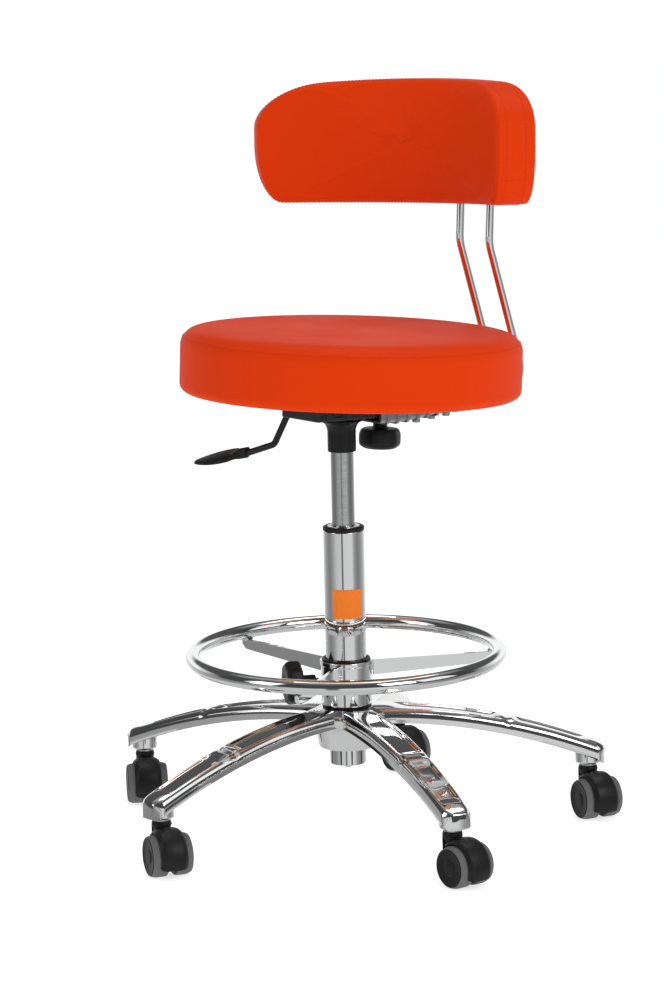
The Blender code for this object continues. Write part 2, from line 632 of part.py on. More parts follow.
# ==== seat =======================================================================================
def build_seat(seat):
    """Cushion on its board, pressed plate, and the mechanism housing with lever and fulcrum pin."""
    bottom = SEAT_BOTTOM
    top = bottom + SEAT_THICKNESS
    pocket = BOARD_RADIUS + GAP
    ceiling = bottom - BOARD_SUNK + BOARD_THICKNESS + GAP
    arc = []
    for i in range(4):
        angle = math.pi / 2 * i / 3
        arc.append((SEAT_RADIUS - SEAT_EDGE + SEAT_EDGE * math.cos(angle),
                    top - SEAT_EDGE + SEAT_EDGE * math.sin(angle)))
    under = [(SEAT_RADIUS - SEAT_EDGE + SEAT_EDGE * math.sin(a), bottom + SEAT_EDGE - SEAT_EDGE * math.cos(a))
             for a in (0, math.pi / 6, math.pi / 3, math.pi / 2)]
    outline = [(0, ceiling), (pocket, ceiling), (pocket, bottom)] + under[1:] + arc + [(0, top)]
    place("seat_cushion", turned("seat_cushion", outline, sides=48), "vinyl_orange", seat, (0, SEAT_OFFSET, 0))
    board = bottom - BOARD_SUNK
    place("seat_board", turned("seat_board", [
        (0, board), (BOARD_RADIUS, board), (BOARD_RADIUS, board + BOARD_THICKNESS),
        (0, board + BOARD_THICKNESS)], sides=48), "plywood", seat, (0, SEAT_OFFSET, 0))
    plate_top = board - GAP
    plate_bottom = plate_top - PLATE_SIZE[2]
    half_x = PLATE_SIZE[0] / 2
    half_y = PLATE_SIZE[1] / 2
    plate_middle = SEAT_OFFSET + 0.010
    place("seat_plate", box("seat_plate", (-half_x, plate_middle - half_y, plate_bottom),
                            (half_x, plate_middle + half_y, plate_top), 0.0012), "steel_dark", seat)
    housing_top = plate_bottom - GAP
    housing_bottom = housing_top - HOUSING_SIZE[2]
    half = HOUSING_SIZE[0] / 2
    front = HOUSING_BACK - HOUSING_SIZE[1]
    housing = place("mechanism_housing", box("mechanism_housing", (-half, front, housing_bottom),
                                             (half, HOUSING_BACK, housing_top), 0.0020), "casting_grey", seat)
    wall = HOUSING_WALL
    cut(housing, box("cavity_tool", (-half + wall, front + wall, housing_bottom + HOUSING_FLOOR),
                     (half - wall, HOUSING_BACK - wall, housing_top + 0.01)), "cavity_tool")
    cut(housing, turned("hole_tool", [(0, housing_bottom - 0.01), (HOUSING_HOLE, housing_bottom - 0.01),
                                      (HOUSING_HOLE, housing_top), (0, housing_top)]), "hole_tool")
    slot_bottom = LEVER_HEIGHT - LEVER_RADIUS - 0.0020
    cut(housing, box("slot_tool", (0.020, -0.0065, slot_bottom), (0.060, 0.0065, housing_top + 0.01)),
        "slot_tool", rotation=(0, 0, LEVER_ANGLE))
    apply_tools(housing)
    return plate_bottom


def build_lever(seat):
    """Bent rod that rocks on the fulcrum pin and presses the release button, with its paddle."""
    fulcrum = LEVER_HEIGHT - LEVER_RADIUS - LEVER_PIN_RADIUS - GAP
    pivot = empty("lever_pivot", seat, polar(LEVER_FULCRUM, LEVER_ANGLE, fulcrum), (0, 0, LEVER_ANGLE))
    shifted = [(across - LEVER_FULCRUM, up - fulcrum) for across, up in LEVER_PATH]
    place("lever_rod", rod("lever_rod", rounded_path(shifted, LEVER_BEND), LEVER_RADIUS), "steel_dark", pivot)
    lying = (math.pi / 2, 0, 0)
    place("lever_pin", turned("lever_pin", [
        (0, -LEVER_PIN_LENGTH / 2), (LEVER_PIN_RADIUS, -LEVER_PIN_LENGTH / 2),
        (LEVER_PIN_RADIUS, LEVER_PIN_LENGTH / 2), (0, LEVER_PIN_LENGTH / 2)], sides=16),
        "steel_brushed", pivot, rotation=lying)
    near, far = PADDLE_REACH
    rings = []
    for share, width, depth in ((0.0, 0.42, 1.0), (0.06, 0.5, 1.05), (0.35, 0.9, 0.8), (0.7, 1.0, 0.55),
                                (0.92, 0.72, 0.4), (1.0, 0.3, 0.25)):
        reach = near + (far - near) * share - LEVER_FULCRUM
        height = PADDLE_HEIGHTS[0] + (PADDLE_HEIGHTS[1] - PADDLE_HEIGHTS[0]) * share - fulcrum
        ring = []
        for k in range(12):
            angle = 2 * math.pi * (k + 0.5) / 12
            ring.append((reach, PADDLE_WIDTH / 2 * width * math.cos(angle),
                         height + PADDLE_THICKNESS / 2 * depth * math.sin(angle)))
        rings.append(ring)
    paddle = place("lever_paddle", skin("lever_paddle", rings, closed_ends=True), "plastic_black", pivot)
    socket = rod("paddle_tool", rounded_path(shifted, LEVER_BEND), LEVER_RADIUS + GAP)
    cut(paddle, socket, "paddle_tool")
    apply_tools(paddle)


# ==== backrest ===================================================================================
def rod_path():
    """Side view of a backrest rod as (back, up) points: run under the seat, lean and upright."""
    turn = math.pi / 2 + ROD_LEAN
    foot = ROD_BEHIND - ROD_LOWER_BEND + ROD_LOWER_BEND * math.tan(turn / 2)
    knee = ROD_LEVEL + (foot - ROD_UPRIGHT) / math.tan(ROD_LEAN)
    corners = [(ROD_FRONT, ROD_LEVEL), (foot, ROD_LEVEL), (ROD_UPRIGHT, knee),
               (ROD_UPRIGHT, PAD_BOTTOM + ROD_INTO_PAD)]
    return rounded_path(corners, (ROD_LOWER_BEND, ROD_UPPER_BEND), steps=8)


def build_back_carriage(seat, plate_bottom):
    """Bracket under the seat with two bores for the rods, and the clamp knob below it."""
    top = plate_bottom - GAP
    bottom = top - BRACKET_SIZE[2]
    start = HOUSING_BACK + GAP
    bracket = place("back_bracket", box("back_bracket", (-BRACKET_SIZE[0] / 2, start, bottom),
                                        (BRACKET_SIZE[0] / 2, start + BRACKET_SIZE[1], top), 0.0025),
                    "casting_grey", seat)
    for side in (-1, 1):
        bore = turned("rod_tool", [(0, 0), (ROD_RADIUS + RUNNING, 0), (ROD_RADIUS + RUNNING, 0.25), (0, 0.25)],
                      sides=16, turn=math.pi / 16)
        cut(bracket, bore, "rod_tool", (side * ROD_SPACING / 2, 0.0, ROD_LEVEL), (-math.pi / 2, 0, 0))
    screw = turned("clamp_tool", [(0, bottom - 0.01), (BACK_SCREW_RADIUS + GAP, bottom - 0.01),
                                  (BACK_SCREW_RADIUS + GAP, top - 0.008), (0, top - 0.008)], sides=16)
    cut(bracket, screw, "clamp_tool", (0, BACK_KNOB_BACK, 0))
    apply_tools(bracket)
    knob_top = BACK_KNOB_TOP
    low = knob_top - BACK_KNOB_HEIGHT
    stem_top = bottom - GAP
    place("back_knob", turned("back_knob", [
        (0, low), (BACK_KNOB_RADIUS - 0.005, low), (BACK_KNOB_RADIUS, low + 0.005),
        (BACK_KNOB_RADIUS, knob_top - 0.005), (BACK_KNOB_RADIUS - 0.005, knob_top),
        (BACK_KNOB_STEM, knob_top), (BACK_KNOB_STEM, stem_top), (BACK_SCREW_RADIUS, stem_top),
        (BACK_SCREW_RADIUS, top - 0.010), (0, top - 0.010)], sides=28),
        "plastic_black", seat, (0, BACK_KNOB_BACK, 0))


def corner_cut(from_end, corner):
    """How far an elliptic corner has cut into an edge at a distance from the pad's end."""
    run, rise = corner
    past = max(0.0, 1 - from_end / run)
    return rise * (1 - math.sqrt(max(0.0, 1 - past ** 2)))


def pad_rings(inner, outer):
    """Cross-sections of a curved pad between two radii, its outline rounded and crowned."""
    rings = []
    middle = PAD_BOTTOM + PAD_HEIGHT / 2
    half_span = (PAD_TO - PAD_FROM) / 2
    centre = (PAD_TO + PAD_FROM) / 2
    edge = PAD_EDGE
    for i in range(PAD_STEPS + 1):
        share = 2 * i / PAD_STEPS - 1
        # steps crowd toward the ends, where the outline turns
        spread = math.sin(share * math.pi / 2)
        angle = centre + half_span * spread
        from_end = half_span * (1 - abs(spread)) * PAD_RADIUS
        crown = PAD_CROWN * spread ** 2
        high = middle + PAD_HEIGHT / 2 - crown - corner_cut(from_end, PAD_TOP_CORNER)
        low = middle - PAD_HEIGHT / 2 + corner_cut(from_end, PAD_BOTTOM_CORNER)
        ring = []
        for radius, height in ((inner, low + edge), (inner + edge, low), (outer - edge, low),
                               (outer, low + edge), (outer, high - edge), (outer - edge, high),
                               (inner + edge, high), (inner, high - edge)):
            x = PAD_CENTRE[0] + radius * math.cos(angle)
            y = PAD_CENTRE[1] + radius * math.sin(angle)
            ring.append((x, y, height))
        rings.append(ring)
    return rings


def build_backrest(slide):
    """Two bent rods with the curved pad and the shell behind it on top."""
    for side, word in ((1, "left"), (-1, "right")):
        place(f"back_rod_{word}", rod("back_rod", rod_path(), ROD_RADIUS), "chrome", slide,
              (side * ROD_SPACING / 2, 0, 0), (0, 0, math.pi / 2))
    outer = PAD_RADIUS + PAD_THICKNESS / 2
    inner = PAD_RADIUS - PAD_THICKNESS / 2
    split = outer - SHELL_THICKNESS
    about = Vector((0, ROD_UPRIGHT, PAD_BOTTOM))
    roll = Matrix.Translation(about) @ Matrix.Rotation(PAD_ROLL, 4, "Y") @ Matrix.Translation(-about)
    solids = (("backrest_pad", pad_rings(inner, split - GAP), "vinyl_orange"),
              ("backrest_shell", shell_rings(split, outer), "plastic_black"))
    for name, rings, finish_name in solids:
        mesh = skin(name, rings, closed_ends=True)
        mesh.transform(roll)
        piece = place(name, mesh, finish_name, slide)
        for side in (-1, 1):
            low = PAD_BOTTOM - 0.05
            high = PAD_BOTTOM + ROD_INTO_PAD + RUNNING
            pocket = turned("pocket_tool", [(0, low), (ROD_RADIUS + RUNNING, low),
                                            (ROD_RADIUS + RUNNING, high), (0, high)], sides=16)
            cut(piece, pocket, "pocket_tool", (side * ROD_SPACING / 2, ROD_UPRIGHT, 0))
        apply_tools(piece)


def shell_rings(inner, outer):
    """The shell follows the pad's outline as a plain curved board."""
    rings = []
    for ring in pad_rings(inner, outer):
        low_in, _, _, low_out, high_out, _, _, high_in = [Vector(point) for point in ring]
        low_in.z = low_out.z = ring[1][2]
        high_in.z = high_out.z = ring[5][2]
        rings.append([tuple(low_in), tuple(low_out), tuple(high_out), tuple(high_in)])
    return rings


# ==== assembly ===================================================================================
def stand_on_origin(root):
    """Move the whole chair so that its box stands centred on the origin."""
    bpy.context.view_layer.update()
    low = [math.inf] * 3
    high = [-math.inf] * 3
    for piece in bpy.data.objects:
        if piece.type != "MESH":
            continue
        for vertex in piece.data.vertices:
            world = piece.matrix_world @ vertex.co
            for axis in range(3):
                low[axis] = min(low[axis], world[axis])
                high[axis] = max(high[axis], world[axis])
    root.location = (-(low[0] + high[0]) / 2, -(low[1] + high[1]) / 2, -low[2])
    bpy.context.view_layer.update()


def main():
    """Build the chair from the floor up."""
    clear_scene()
    root = empty("chair")
    build_base(root)
    build_column(root)
    build_label(root)
    for index in range(1, ARM_COUNT + 1):
        build_caster(index, root)
    build_gas_lift(root)
    build_foot_ring(root)
    tilt = empty("seat_tilt", root, (0, 0, TILT_HEIGHT), (-SEAT_TILT, 0, 0))
    seat = empty("seat_frame", tilt, (0, 0, -TILT_HEIGHT))
    plate_bottom = build_seat(seat)
    build_lever(seat)
    build_back_carriage(seat, plate_bottom)
    build_backrest(seat)
    stand_on_origin(root)


main()
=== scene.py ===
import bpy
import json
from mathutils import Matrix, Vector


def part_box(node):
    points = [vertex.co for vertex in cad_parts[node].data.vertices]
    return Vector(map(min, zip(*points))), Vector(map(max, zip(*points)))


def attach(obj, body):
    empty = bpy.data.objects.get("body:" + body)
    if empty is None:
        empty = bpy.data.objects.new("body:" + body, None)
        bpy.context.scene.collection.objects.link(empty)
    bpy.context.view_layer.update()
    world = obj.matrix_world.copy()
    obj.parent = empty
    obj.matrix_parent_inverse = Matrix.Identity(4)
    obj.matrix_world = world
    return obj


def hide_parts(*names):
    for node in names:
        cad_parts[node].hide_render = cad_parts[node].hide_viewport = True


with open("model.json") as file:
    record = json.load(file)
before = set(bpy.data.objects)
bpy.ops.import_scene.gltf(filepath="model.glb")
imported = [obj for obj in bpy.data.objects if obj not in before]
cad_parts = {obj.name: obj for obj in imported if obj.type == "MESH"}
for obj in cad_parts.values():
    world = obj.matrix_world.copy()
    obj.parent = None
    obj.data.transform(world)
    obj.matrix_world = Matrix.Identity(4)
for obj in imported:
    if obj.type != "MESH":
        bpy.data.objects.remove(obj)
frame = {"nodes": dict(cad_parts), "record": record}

"""Looks of the drafting chair: upholstery, chrome, castings, casters, camera and light."""
import json
import logging
import math
from dataclasses import dataclass
from enum import Enum

import bmesh
import bpy
import numpy as np
from mathutils import Matrix, Vector

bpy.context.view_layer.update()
LOG = logging.getLogger("drafting_chair")
TURN = 2.0 * math.pi


# ==== places =====================================================================================
@dataclass(frozen=True)
class Place:
    """A local frame in the chair: an origin and three axes, the columns of a turn."""

    origin: np.ndarray
    turn: np.ndarray

    def put(self, points: np.ndarray) -> np.ndarray:
        """Points of this frame, any leading shape, in the chair's frame."""
        return points @ self.turn.T + self.origin

    def turned(self, angle: float) -> "Place":
        """The same origin with X and Y turned about Z by that angle."""
        c, s = math.cos(angle), math.sin(angle)
        return Place(self.origin, self.turn @ np.array([[c, -s, 0], [s, c, 0], [0, 0, 1.0]]))


def upright_at(x: float, y: float) -> Place:
    """An unturned frame at that spot."""
    return Place(np.array([x, y, 0.0]), np.eye(3))


def joint(name: str) -> dict:
    """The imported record's joint of that name."""
    return next(j for j in frame["record"]["behaviour"]["joints"] if j["name"] == name)


def node_axis(node: str) -> np.ndarray:
    """The middle of a round upright node, on the floor."""
    low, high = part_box(node)
    return np.array([(low[0] + high[0]) / 2, (low[1] + high[1]) / 2, 0.0])


AXIS = node_axis("column_tube")
COLUMN = Place(AXIS, np.eye(3))
TILT_HEIGHT = 0.5200


def seat_place() -> Place:
    """The tilted frame of the seat: Z along the clamp knob's axis, heights kept on the column."""
    up = np.array(joint("back_clamp_turn")["axis"], float)
    up = up / np.linalg.norm(up)
    across = np.array([1.0, 0, 0])
    back = np.cross(up, across)
    turn = np.column_stack([across, back, up])
    return Place(AXIS + np.array([0, 0, TILT_HEIGHT]) - turn @ np.array([0, 0, TILT_HEIGHT]), turn)


SEAT = seat_place()


def caster_place(index: int) -> Place:
    """A caster's frame: origin under its stem, X toward the wheels, Y along the axle."""
    swivel = np.array(joint(f"caster_{index}_swivel")["pos_m"], float)
    axle = np.array(joint(f"caster_{index}_roll_left")["pos_m"], float)
    trail = axle - swivel
    trail[2] = 0
    trail = trail / np.linalg.norm(trail)
    side = np.cross([0, 0, 1.0], trail)
    return Place(np.array([swivel[0], swivel[1], 0.0]), np.column_stack([trail, side, [0, 0, 1.0]]))


def arm_place(index: int) -> Place:
    """An arm's frame: origin on the column's axis, X toward the caster's stem."""
    out = caster_place(index).origin - AXIS
    return COLUMN.turned(math.atan2(out[1], out[0]))


# ==== surfaces ===================================================================================
@dataclass
class Surface:
    """Points and faces of one mesh part, before it is placed."""

    points: np.ndarray
    quads: np.ndarray
    caps: list

    def placed(self, place: Place) -> "Surface":
        """The same surface, moved into the chair's frame."""
        return Surface(place.put(self.points), self.quads, self.caps)


def join(*parts: Surface) -> Surface:
    """Several surfaces as one, each a closed shell of its own."""
    start = 0
    points, quads, caps = [], [], []
    for part in parts:
        points.append(part.points)
        quads.append(part.quads + start)
        caps += [[i + start for i in cap] for cap in part.caps]
        start += len(part.points)
    return Surface(np.concatenate(points), np.concatenate(quads), caps)


def grid(points: np.ndarray, wrap_rows: bool = False, capped: bool = True) -> Surface:
    """Skin a grid of points whose rows are closed loops.

    Args:
        points: rows by columns by 3.
        wrap_rows: join the last row to the first.
        capped: close the first and the last row with a face each.

    Returns:
        The surface, one quad between each four neighbours.
    """
    rows, columns = points.shape[:2]
    index = np.arange(rows * columns).reshape(rows, columns)
    if wrap_rows:
        index = np.vstack([index, index[:1]])
    index = np.hstack([index, index[:, :1]])
    quads = np.stack([index[:-1, :-1], index[:-1, 1:], index[1:, 1:], index[1:, :-1]], axis=-1)
    caps = []
    if capped and not wrap_rows:
        caps = [index[0, :columns][::-1].tolist(), index[-1, :columns].tolist()]
    return Surface(points.reshape(-1, 3), quads.reshape(-1, 4), caps)


def rounded(corners: list, radii: float | list, steps: int = 6, closed: bool = False) -> np.ndarray:
    """A polyline whose corners are arcs.

    Each arc is a quadratic blend between the points a reach before and after the corner, which is
    close to a circle of the given radius on right angles. A closed outline also gets a point on the
    straight just outside each arc, which keeps its long straights evenly shaded.

    Args:
        corners: points of two or three coordinates.
        radii: one reach for all corners, or one for each.
        steps: points along each arc.
        closed: whether the last corner leads back to the first.
    """
    shape = np.array(corners, float)
    count = len(shape)
    reach = np.full(count, radii, float) if np.isscalar(radii) else np.array(radii, float)
    share = np.linspace(0, 1, steps + 1)[:, None]
    out = []
    for i in range(count):
        if not closed and i in (0, count - 1):
            out.append(shape[i][None])
            continue
        before, here, after = shape[i - 1], shape[i], shape[(i + 1) % count]
        one, two = before - here, after - here
        limit = 0.49 * min(np.linalg.norm(one), np.linalg.norm(two))
        size = min(reach[i], 0.8 * limit if closed else limit)
        if size <= 0:
            out.append(here[None])
            continue
        start = here + one / np.linalg.norm(one) * size
        end = here + two / np.linalg.norm(two) * size
        # weights of a circular arc's rational quadratic, for an even roundness
        middle = math.sqrt(0.5)
        a, b, c = (1 - share) ** 2, 2 * middle * share * (1 - share), share ** 2
        arc = (a * start + b * here + c * end) / (a + b + c)
        if closed:
            extra = min(0.0005, 0.15 * limit)
            arc = np.concatenate([(start + one / np.linalg.norm(one) * extra)[None], arc,
                                  (end + two / np.linalg.norm(two) * extra)[None]])
        out.append(arc)
    return np.concatenate(out)


def revolved(profile: np.ndarray, sides: int = 96, hollow: bool = True) -> Surface:
    """Turn a profile about Z: x = r cos t, y = r sin t, z = z, for t all the way round.

    Args:
        profile: (radius, height) points, a closed loop when hollow.
        sides: points round the axis.
        hollow: False for a solid whose profile starts and ends near the axis.
    """
    angle = np.arange(sides) * TURN / sides
    radius, height = profile[:, :1], profile[:, 1:]
    points = np.stack([radius * np.cos(angle), radius * np.sin(angle), height + 0 * angle], axis=-1)
    return grid(points, wrap_rows=hollow, capped=not hollow)


def solid(corners: list, reach: float, sides: int, steps: int = 6) -> Surface:
    """Turn an open outline with rounded corners, which starts and ends near Z, into a solid."""
    return revolved(rounded(corners, reach, steps), sides, hollow=False)


def level(loop: np.ndarray, height: float) -> np.ndarray:
    """A flat loop as points that share one height."""
    return np.column_stack([loop, np.full(len(loop), height)])


def swept(path: np.ndarray, section: np.ndarray, normal: np.ndarray, scale: np.ndarray | None = None,
          closed: bool = False) -> Surface:
    """Carry a flat closed section along a planar path.

    A point is path + section_x * side + section_y * normal, where side is the path's tangent
    crossed with the plane's normal.

    Args:
        path: points by 3.
        section: (side, normal) points.
        normal: the unit normal of the path's plane.
        scale: one factor for each path point.
        closed: whether the path ends where it starts.
    """
    if closed:
        ahead, behind = np.roll(path, -1, axis=0), np.roll(path, 1, axis=0)
        tangent = ahead - behind
    else:
        tangent = np.gradient(path, axis=0)
    tangent /= np.linalg.norm(tangent, axis=1, keepdims=True)
    side = np.cross(tangent, normal)
    size = np.ones(len(path)) if scale is None else scale
    points = (path[:, None] + size[:, None, None] * (section[None, :, :1] * side[:, None]
                                                     + section[None, :, 1:] * normal))
    return grid(points, wrap_rows=closed, capped=not closed)


def circle(radius: float, sides: int = 32) -> np.ndarray:
    """A circle as a section: (r cos t, r sin t)."""
    angle = np.arange(sides) * TURN / sides
    return radius * np.column_stack([np.cos(angle), np.sin(angle)])


def box_surface(low: tuple, high: tuple, edge: float = 0.0015) -> Surface:
    """A box with rounded upright edges and softened rims, as stacked rounded rectangles."""
    (x0, y0, z0), (x1, y1, z1) = low, high
    soft = edge * np.array([1.0, 0.3, 0.0, 0.0, 0.3, 1.0])
    heights = np.array([z0, z0 + 0.3 * edge, z0 + edge, z1 - edge, z1 - 0.3 * edge, z1])
    rows = []
    for inset, height in zip(soft, heights):
        loop = rounded([(x0 + inset, y0 + inset), (x1 - inset, y0 + inset), (x1 - inset, y1 - inset),
                        (x0 + inset, y1 - inset)], edge * 1.6, steps=4, closed=True)
        rows.append(level(loop, height))
    return grid(np.stack(rows))


def resampled(loop: np.ndarray, count: int) -> np.ndarray:
    """A closed flat loop with its points spread evenly along it."""
    closed = np.vstack([loop, loop[:1]])
    run = np.concatenate([[0], np.cumsum(np.linalg.norm(np.diff(closed, axis=0), axis=1))])
    at = np.arange(count) * run[-1] / count
    return np.column_stack([np.interp(at, run, closed[:, k]) for k in range(2)])


def smoothstep(low: float, high: float, value: np.ndarray) -> np.ndarray:
    """0 below low, 1 above high, and 3t^2 - 2t^3 between."""
    t = np.clip((value - low) / (high - low), 0, 1)
    return t * t * (3 - 2 * t)


def capsules(centres: np.ndarray, along: np.ndarray, out: np.ndarray, length: float,
             radius: float) -> Surface:
    """One short rounded thread at each centre, lying along a direction.

    Args:
        centres: points by 3.
        along: unit directions of the threads.
        out: unit normals of what they lie on.
        length: of a thread.
        radius: of a thread.
    """
    across = np.cross(along, out)
    sides = 6
    angle = np.arange(sides) * TURN / sides
    stations = np.array([-0.5, -0.36, 0.0, 0.36, 0.5])
    girth = np.array([0.25, 0.85, 1.0, 0.85, 0.25])
    sink = np.array([-0.9, -0.2, 0.25, -0.2, -0.9])
    ring = (np.cos(angle)[:, None, None] * across[None] + np.sin(angle)[:, None, None] * out[None])
    points = (centres[None, None] + stations[:, None, None, None] * length * along[None, None]
              + girth[:, None, None, None] * radius * ring[None]
              + sink[:, None, None, None] * radius * out[None, None])
    points = np.moveaxis(points, 2, 0)
    parts = [grid(one) for one in points]
    return join(*parts)


# ==== finishes ===================================================================================
def add_node(tree: bpy.types.NodeTree, kind: str, inputs: dict | None = None, **settings) -> bpy.types.Node:
    """Add a shader node.

    Args:
        tree: where it goes.
        kind: its type, without the common ShaderNode.
        inputs: by name or number, a value or the socket that feeds it.
        **settings: the node's own properties, set first.

    Returns:
        The new node.
    """
    node = tree.nodes.new(f"ShaderNode{kind}")
    for label, value in settings.items():
        setattr(node, label, value)
    feed(tree, node, inputs or {})
    return node


def feed(tree: bpy.types.NodeTree, node: bpy.types.Node, inputs: dict) -> None:
    """Set a node's inputs: a socket is linked, and anything else becomes the default value."""
    for label, value in inputs.items():
        if isinstance(value, bpy.types.NodeSocket):
            tree.links.new(value, node.inputs[label])
        else:
            node.inputs[label].default_value = value


def new_material(name: str, inputs: dict) -> bpy.types.Material:
    """A node material whose main shader has those values."""
    material = bpy.data.materials.new(name)
    material.use_nodes = True
    feed(material.node_tree, material.node_tree.nodes["Principled BSDF"], inputs)
    return material


def grain_group() -> bpy.types.NodeTree:
    """Shared grain: a fine and a broad noise, put out as a height and as a slow variation."""
    found = bpy.data.node_groups.get("Grain")
    if found:
        return found
    group = bpy.data.node_groups.new("Grain", "ShaderNodeTree")
    for label, kind in (("Vector", "NodeSocketVector"), ("Fine Scale", "NodeSocketFloat"),
                        ("Broad Scale", "NodeSocketFloat")):
        group.interface.new_socket(name=label, in_out="INPUT", socket_type=kind)
    for label in ("Height", "Variation"):
        group.interface.new_socket(name=label, in_out="OUTPUT", socket_type="NodeSocketFloat")
    enter, leave = group.nodes.new("NodeGroupInput"), group.nodes.new("NodeGroupOutput")
    for scale, detail, label in (("Fine Scale", 3.0, "Height"), ("Broad Scale", 4.0, "Variation")):
        noise = add_node(group, "TexNoise", {"Vector": enter.outputs["Vector"], "Detail": detail,
                                             "Scale": enter.outputs[scale]})
        group.links.new(noise.outputs["Fac"], leave.inputs[label])
    return group


@dataclass(frozen=True)
class Finish:
    """One surface finish, with its grain and its unevenness.

    The slow variation of the grain mixes the two colours and, between 0.3 and 0.7, runs through
    the two roughnesses. The fine grain makes a shallow bump.
    """

    name: str
    colour: tuple
    second: tuple
    roughness: tuple
    metallic: float = 0.0
    fine: float = 900.0
    broad: float = 9.0
    bump: float = 0.1
    depth: float = 0.0002
    stretch: tuple = (1.0, 1.0, 1.0)
    specular: float = 0.5

    def material(self) -> bpy.types.Material:
        """The finish as a node material, made on first use."""
        label = f"finish_{self.name}"
        found = bpy.data.materials.get(label)
        if found:
            return found
        material = new_material(label, {"Metallic": self.metallic, "Specular IOR Level": self.specular})
        tree = material.node_tree
        coordinates = add_node(tree, "TexCoord")
        mapping = add_node(tree, "Mapping", {"Vector": coordinates.outputs["Object"], "Scale": self.stretch})
        grain = add_node(tree, "Group", node_tree=grain_group())
        feed(tree, grain, {"Vector": mapping.outputs["Vector"], "Fine Scale": self.fine,
                           "Broad Scale": self.broad})
        variation = grain.outputs["Variation"]
        mix = add_node(tree, "Mix", {"A": (*self.colour, 1.0), "B": (*self.second, 1.0), "Factor": variation},
                       data_type="RGBA")
        spread = add_node(tree, "MapRange", {"From Min": 0.3, "From Max": 0.7, "To Min": self.roughness[0],
                                             "To Max": self.roughness[1], "Value": variation})
        bump = add_node(tree, "Bump", {"Strength": self.bump, "Distance": self.depth,
                                       "Height": grain.outputs["Height"]})
        feed(tree, tree.nodes["Principled BSDF"],
             {"Base Color": mix.outputs["Result"], "Roughness": spread.outputs["Result"],
              "Normal": bump.outputs["Normal"]})
        return material


class Look(Enum):
    """The chair's finishes."""

    VINYL = Finish("vinyl_orange", (0.74, 0.044, 0.0012), (0.68, 0.038, 0.0010), (0.46, 0.56), fine=1500.0,
                   broad=7.0, bump=0.16, depth=0.0002, specular=0.05)
    THREAD = Finish("thread_orange", (0.60, 0.030, 0.002), (0.50, 0.024, 0.002), (0.6, 0.75), fine=4000.0,
                    specular=0.2)
    CHROME = Finish("chrome", (0.88, 0.885, 0.89), (0.85, 0.855, 0.86), (0.02, 0.05), 1.0, fine=60.0,
                    bump=0.015, depth=0.0001)
    ALUMINIUM = Finish("aluminium_polished", (0.90, 0.90, 0.905), (0.84, 0.845, 0.85), (0.035, 0.09), 1.0,
                       fine=40.0, broad=14.0, bump=0.05, depth=0.0004)
    STEEL = Finish("steel_brushed", (0.60, 0.605, 0.61), (0.50, 0.505, 0.51), (0.16, 0.26), 1.0, fine=420.0,
                   broad=60.0, bump=0.2, depth=0.0002, stretch=(1.0, 1.0, 8.0))
    BLACK = Finish("plastic_black", (0.007, 0.007, 0.008), (0.011, 0.011, 0.012), (0.36, 0.48), fine=1400.0,
                   bump=0.2, specular=0.30)
    DARK = Finish("steel_dark", (0.012, 0.0125, 0.014), (0.020, 0.021, 0.023), (0.30, 0.42), 0.2, fine=700.0,
                  broad=30.0, bump=0.15, specular=0.35)
    CASTING = Finish("casting_grey", (0.42, 0.425, 0.43), (0.52, 0.525, 0.53), (0.26, 0.42), 0.95,
                     fine=520.0, broad=35.0, bump=0.3, depth=0.0004)
    HOUSING = Finish("casting_dark", (0.030, 0.031, 0.034), (0.050, 0.052, 0.056), (0.28, 0.42), 0.6,
                     fine=520.0, broad=35.0, bump=0.3, depth=0.0004)
    TREAD = Finish("tread_grey", (0.110, 0.110, 0.114), (0.135, 0.135, 0.14), (0.50, 0.62), fine=800.0,
                   bump=0.2, specular=0.3)
    PLY = Finish("plywood", (0.50, 0.31, 0.15), (0.40, 0.23, 0.10), (0.55, 0.7), fine=260.0, broad=20.0,
                 stretch=(1.0, 14.0, 60.0), bump=0.3)
    LABEL = Finish("label_orange", (0.90, 0.215, 0.018), (0.86, 0.200, 0.017), (0.35, 0.40), fine=300.0,
                   bump=0.02, specular=0.2)

    @property
    def material(self) -> bpy.types.Material:
        """The finish's node material."""
        return self.value.material()

    @property
    def slot(self) -> str:
        """The record's slot of the finish; thread goes with the vinyl."""
        if self is Look.THREAD:
            return "vinyl_orange"
        return "casting_grey" if self is Look.HOUSING else self.value.name


# ==== pieces =====================================================================================
def make(name: str, surface: Surface, look: Look, body: str, stands_for: tuple = (),
         sharp: float = 40.0) -> bpy.types.Object:
    """Make one piece of the chair from a surface in the chair's frame.

    Args:
        name: the piece's name.
        surface: its mesh.
        look: its finish.
        body: the CAD body it rides on.
        stands_for: CAD nodes it replaces.
        sharp: edges steeper than this, in degrees, stay sharp.

    Returns:
        The new object.
    """
    mesh = bpy.data.meshes.new(name)
    faces = surface.quads.tolist() + surface.caps
    mesh.from_pydata(surface.points.tolist(), [], faces)
    work = bmesh.new()
    work.from_mesh(mesh)
    bmesh.ops.remove_doubles(work, verts=work.verts, dist=1e-7)
    bmesh.ops.recalc_face_normals(work, faces=work.faces)
    work.to_mesh(mesh)
    work.free()
    mesh.polygons.foreach_set("use_smooth", np.ones(len(mesh.polygons), bool))
    mesh.set_sharp_from_angle(angle=math.radians(sharp))
    piece = bpy.data.objects.new(name, mesh)
    bpy.context.scene.collection.objects.link(piece)
    mesh.materials.append(look.material)
    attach(piece, body)
    if stands_for:
        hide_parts(*stands_for)
    LOG.info("piece %s: %d faces on %s", name, len(mesh.polygons), body)
    return piece


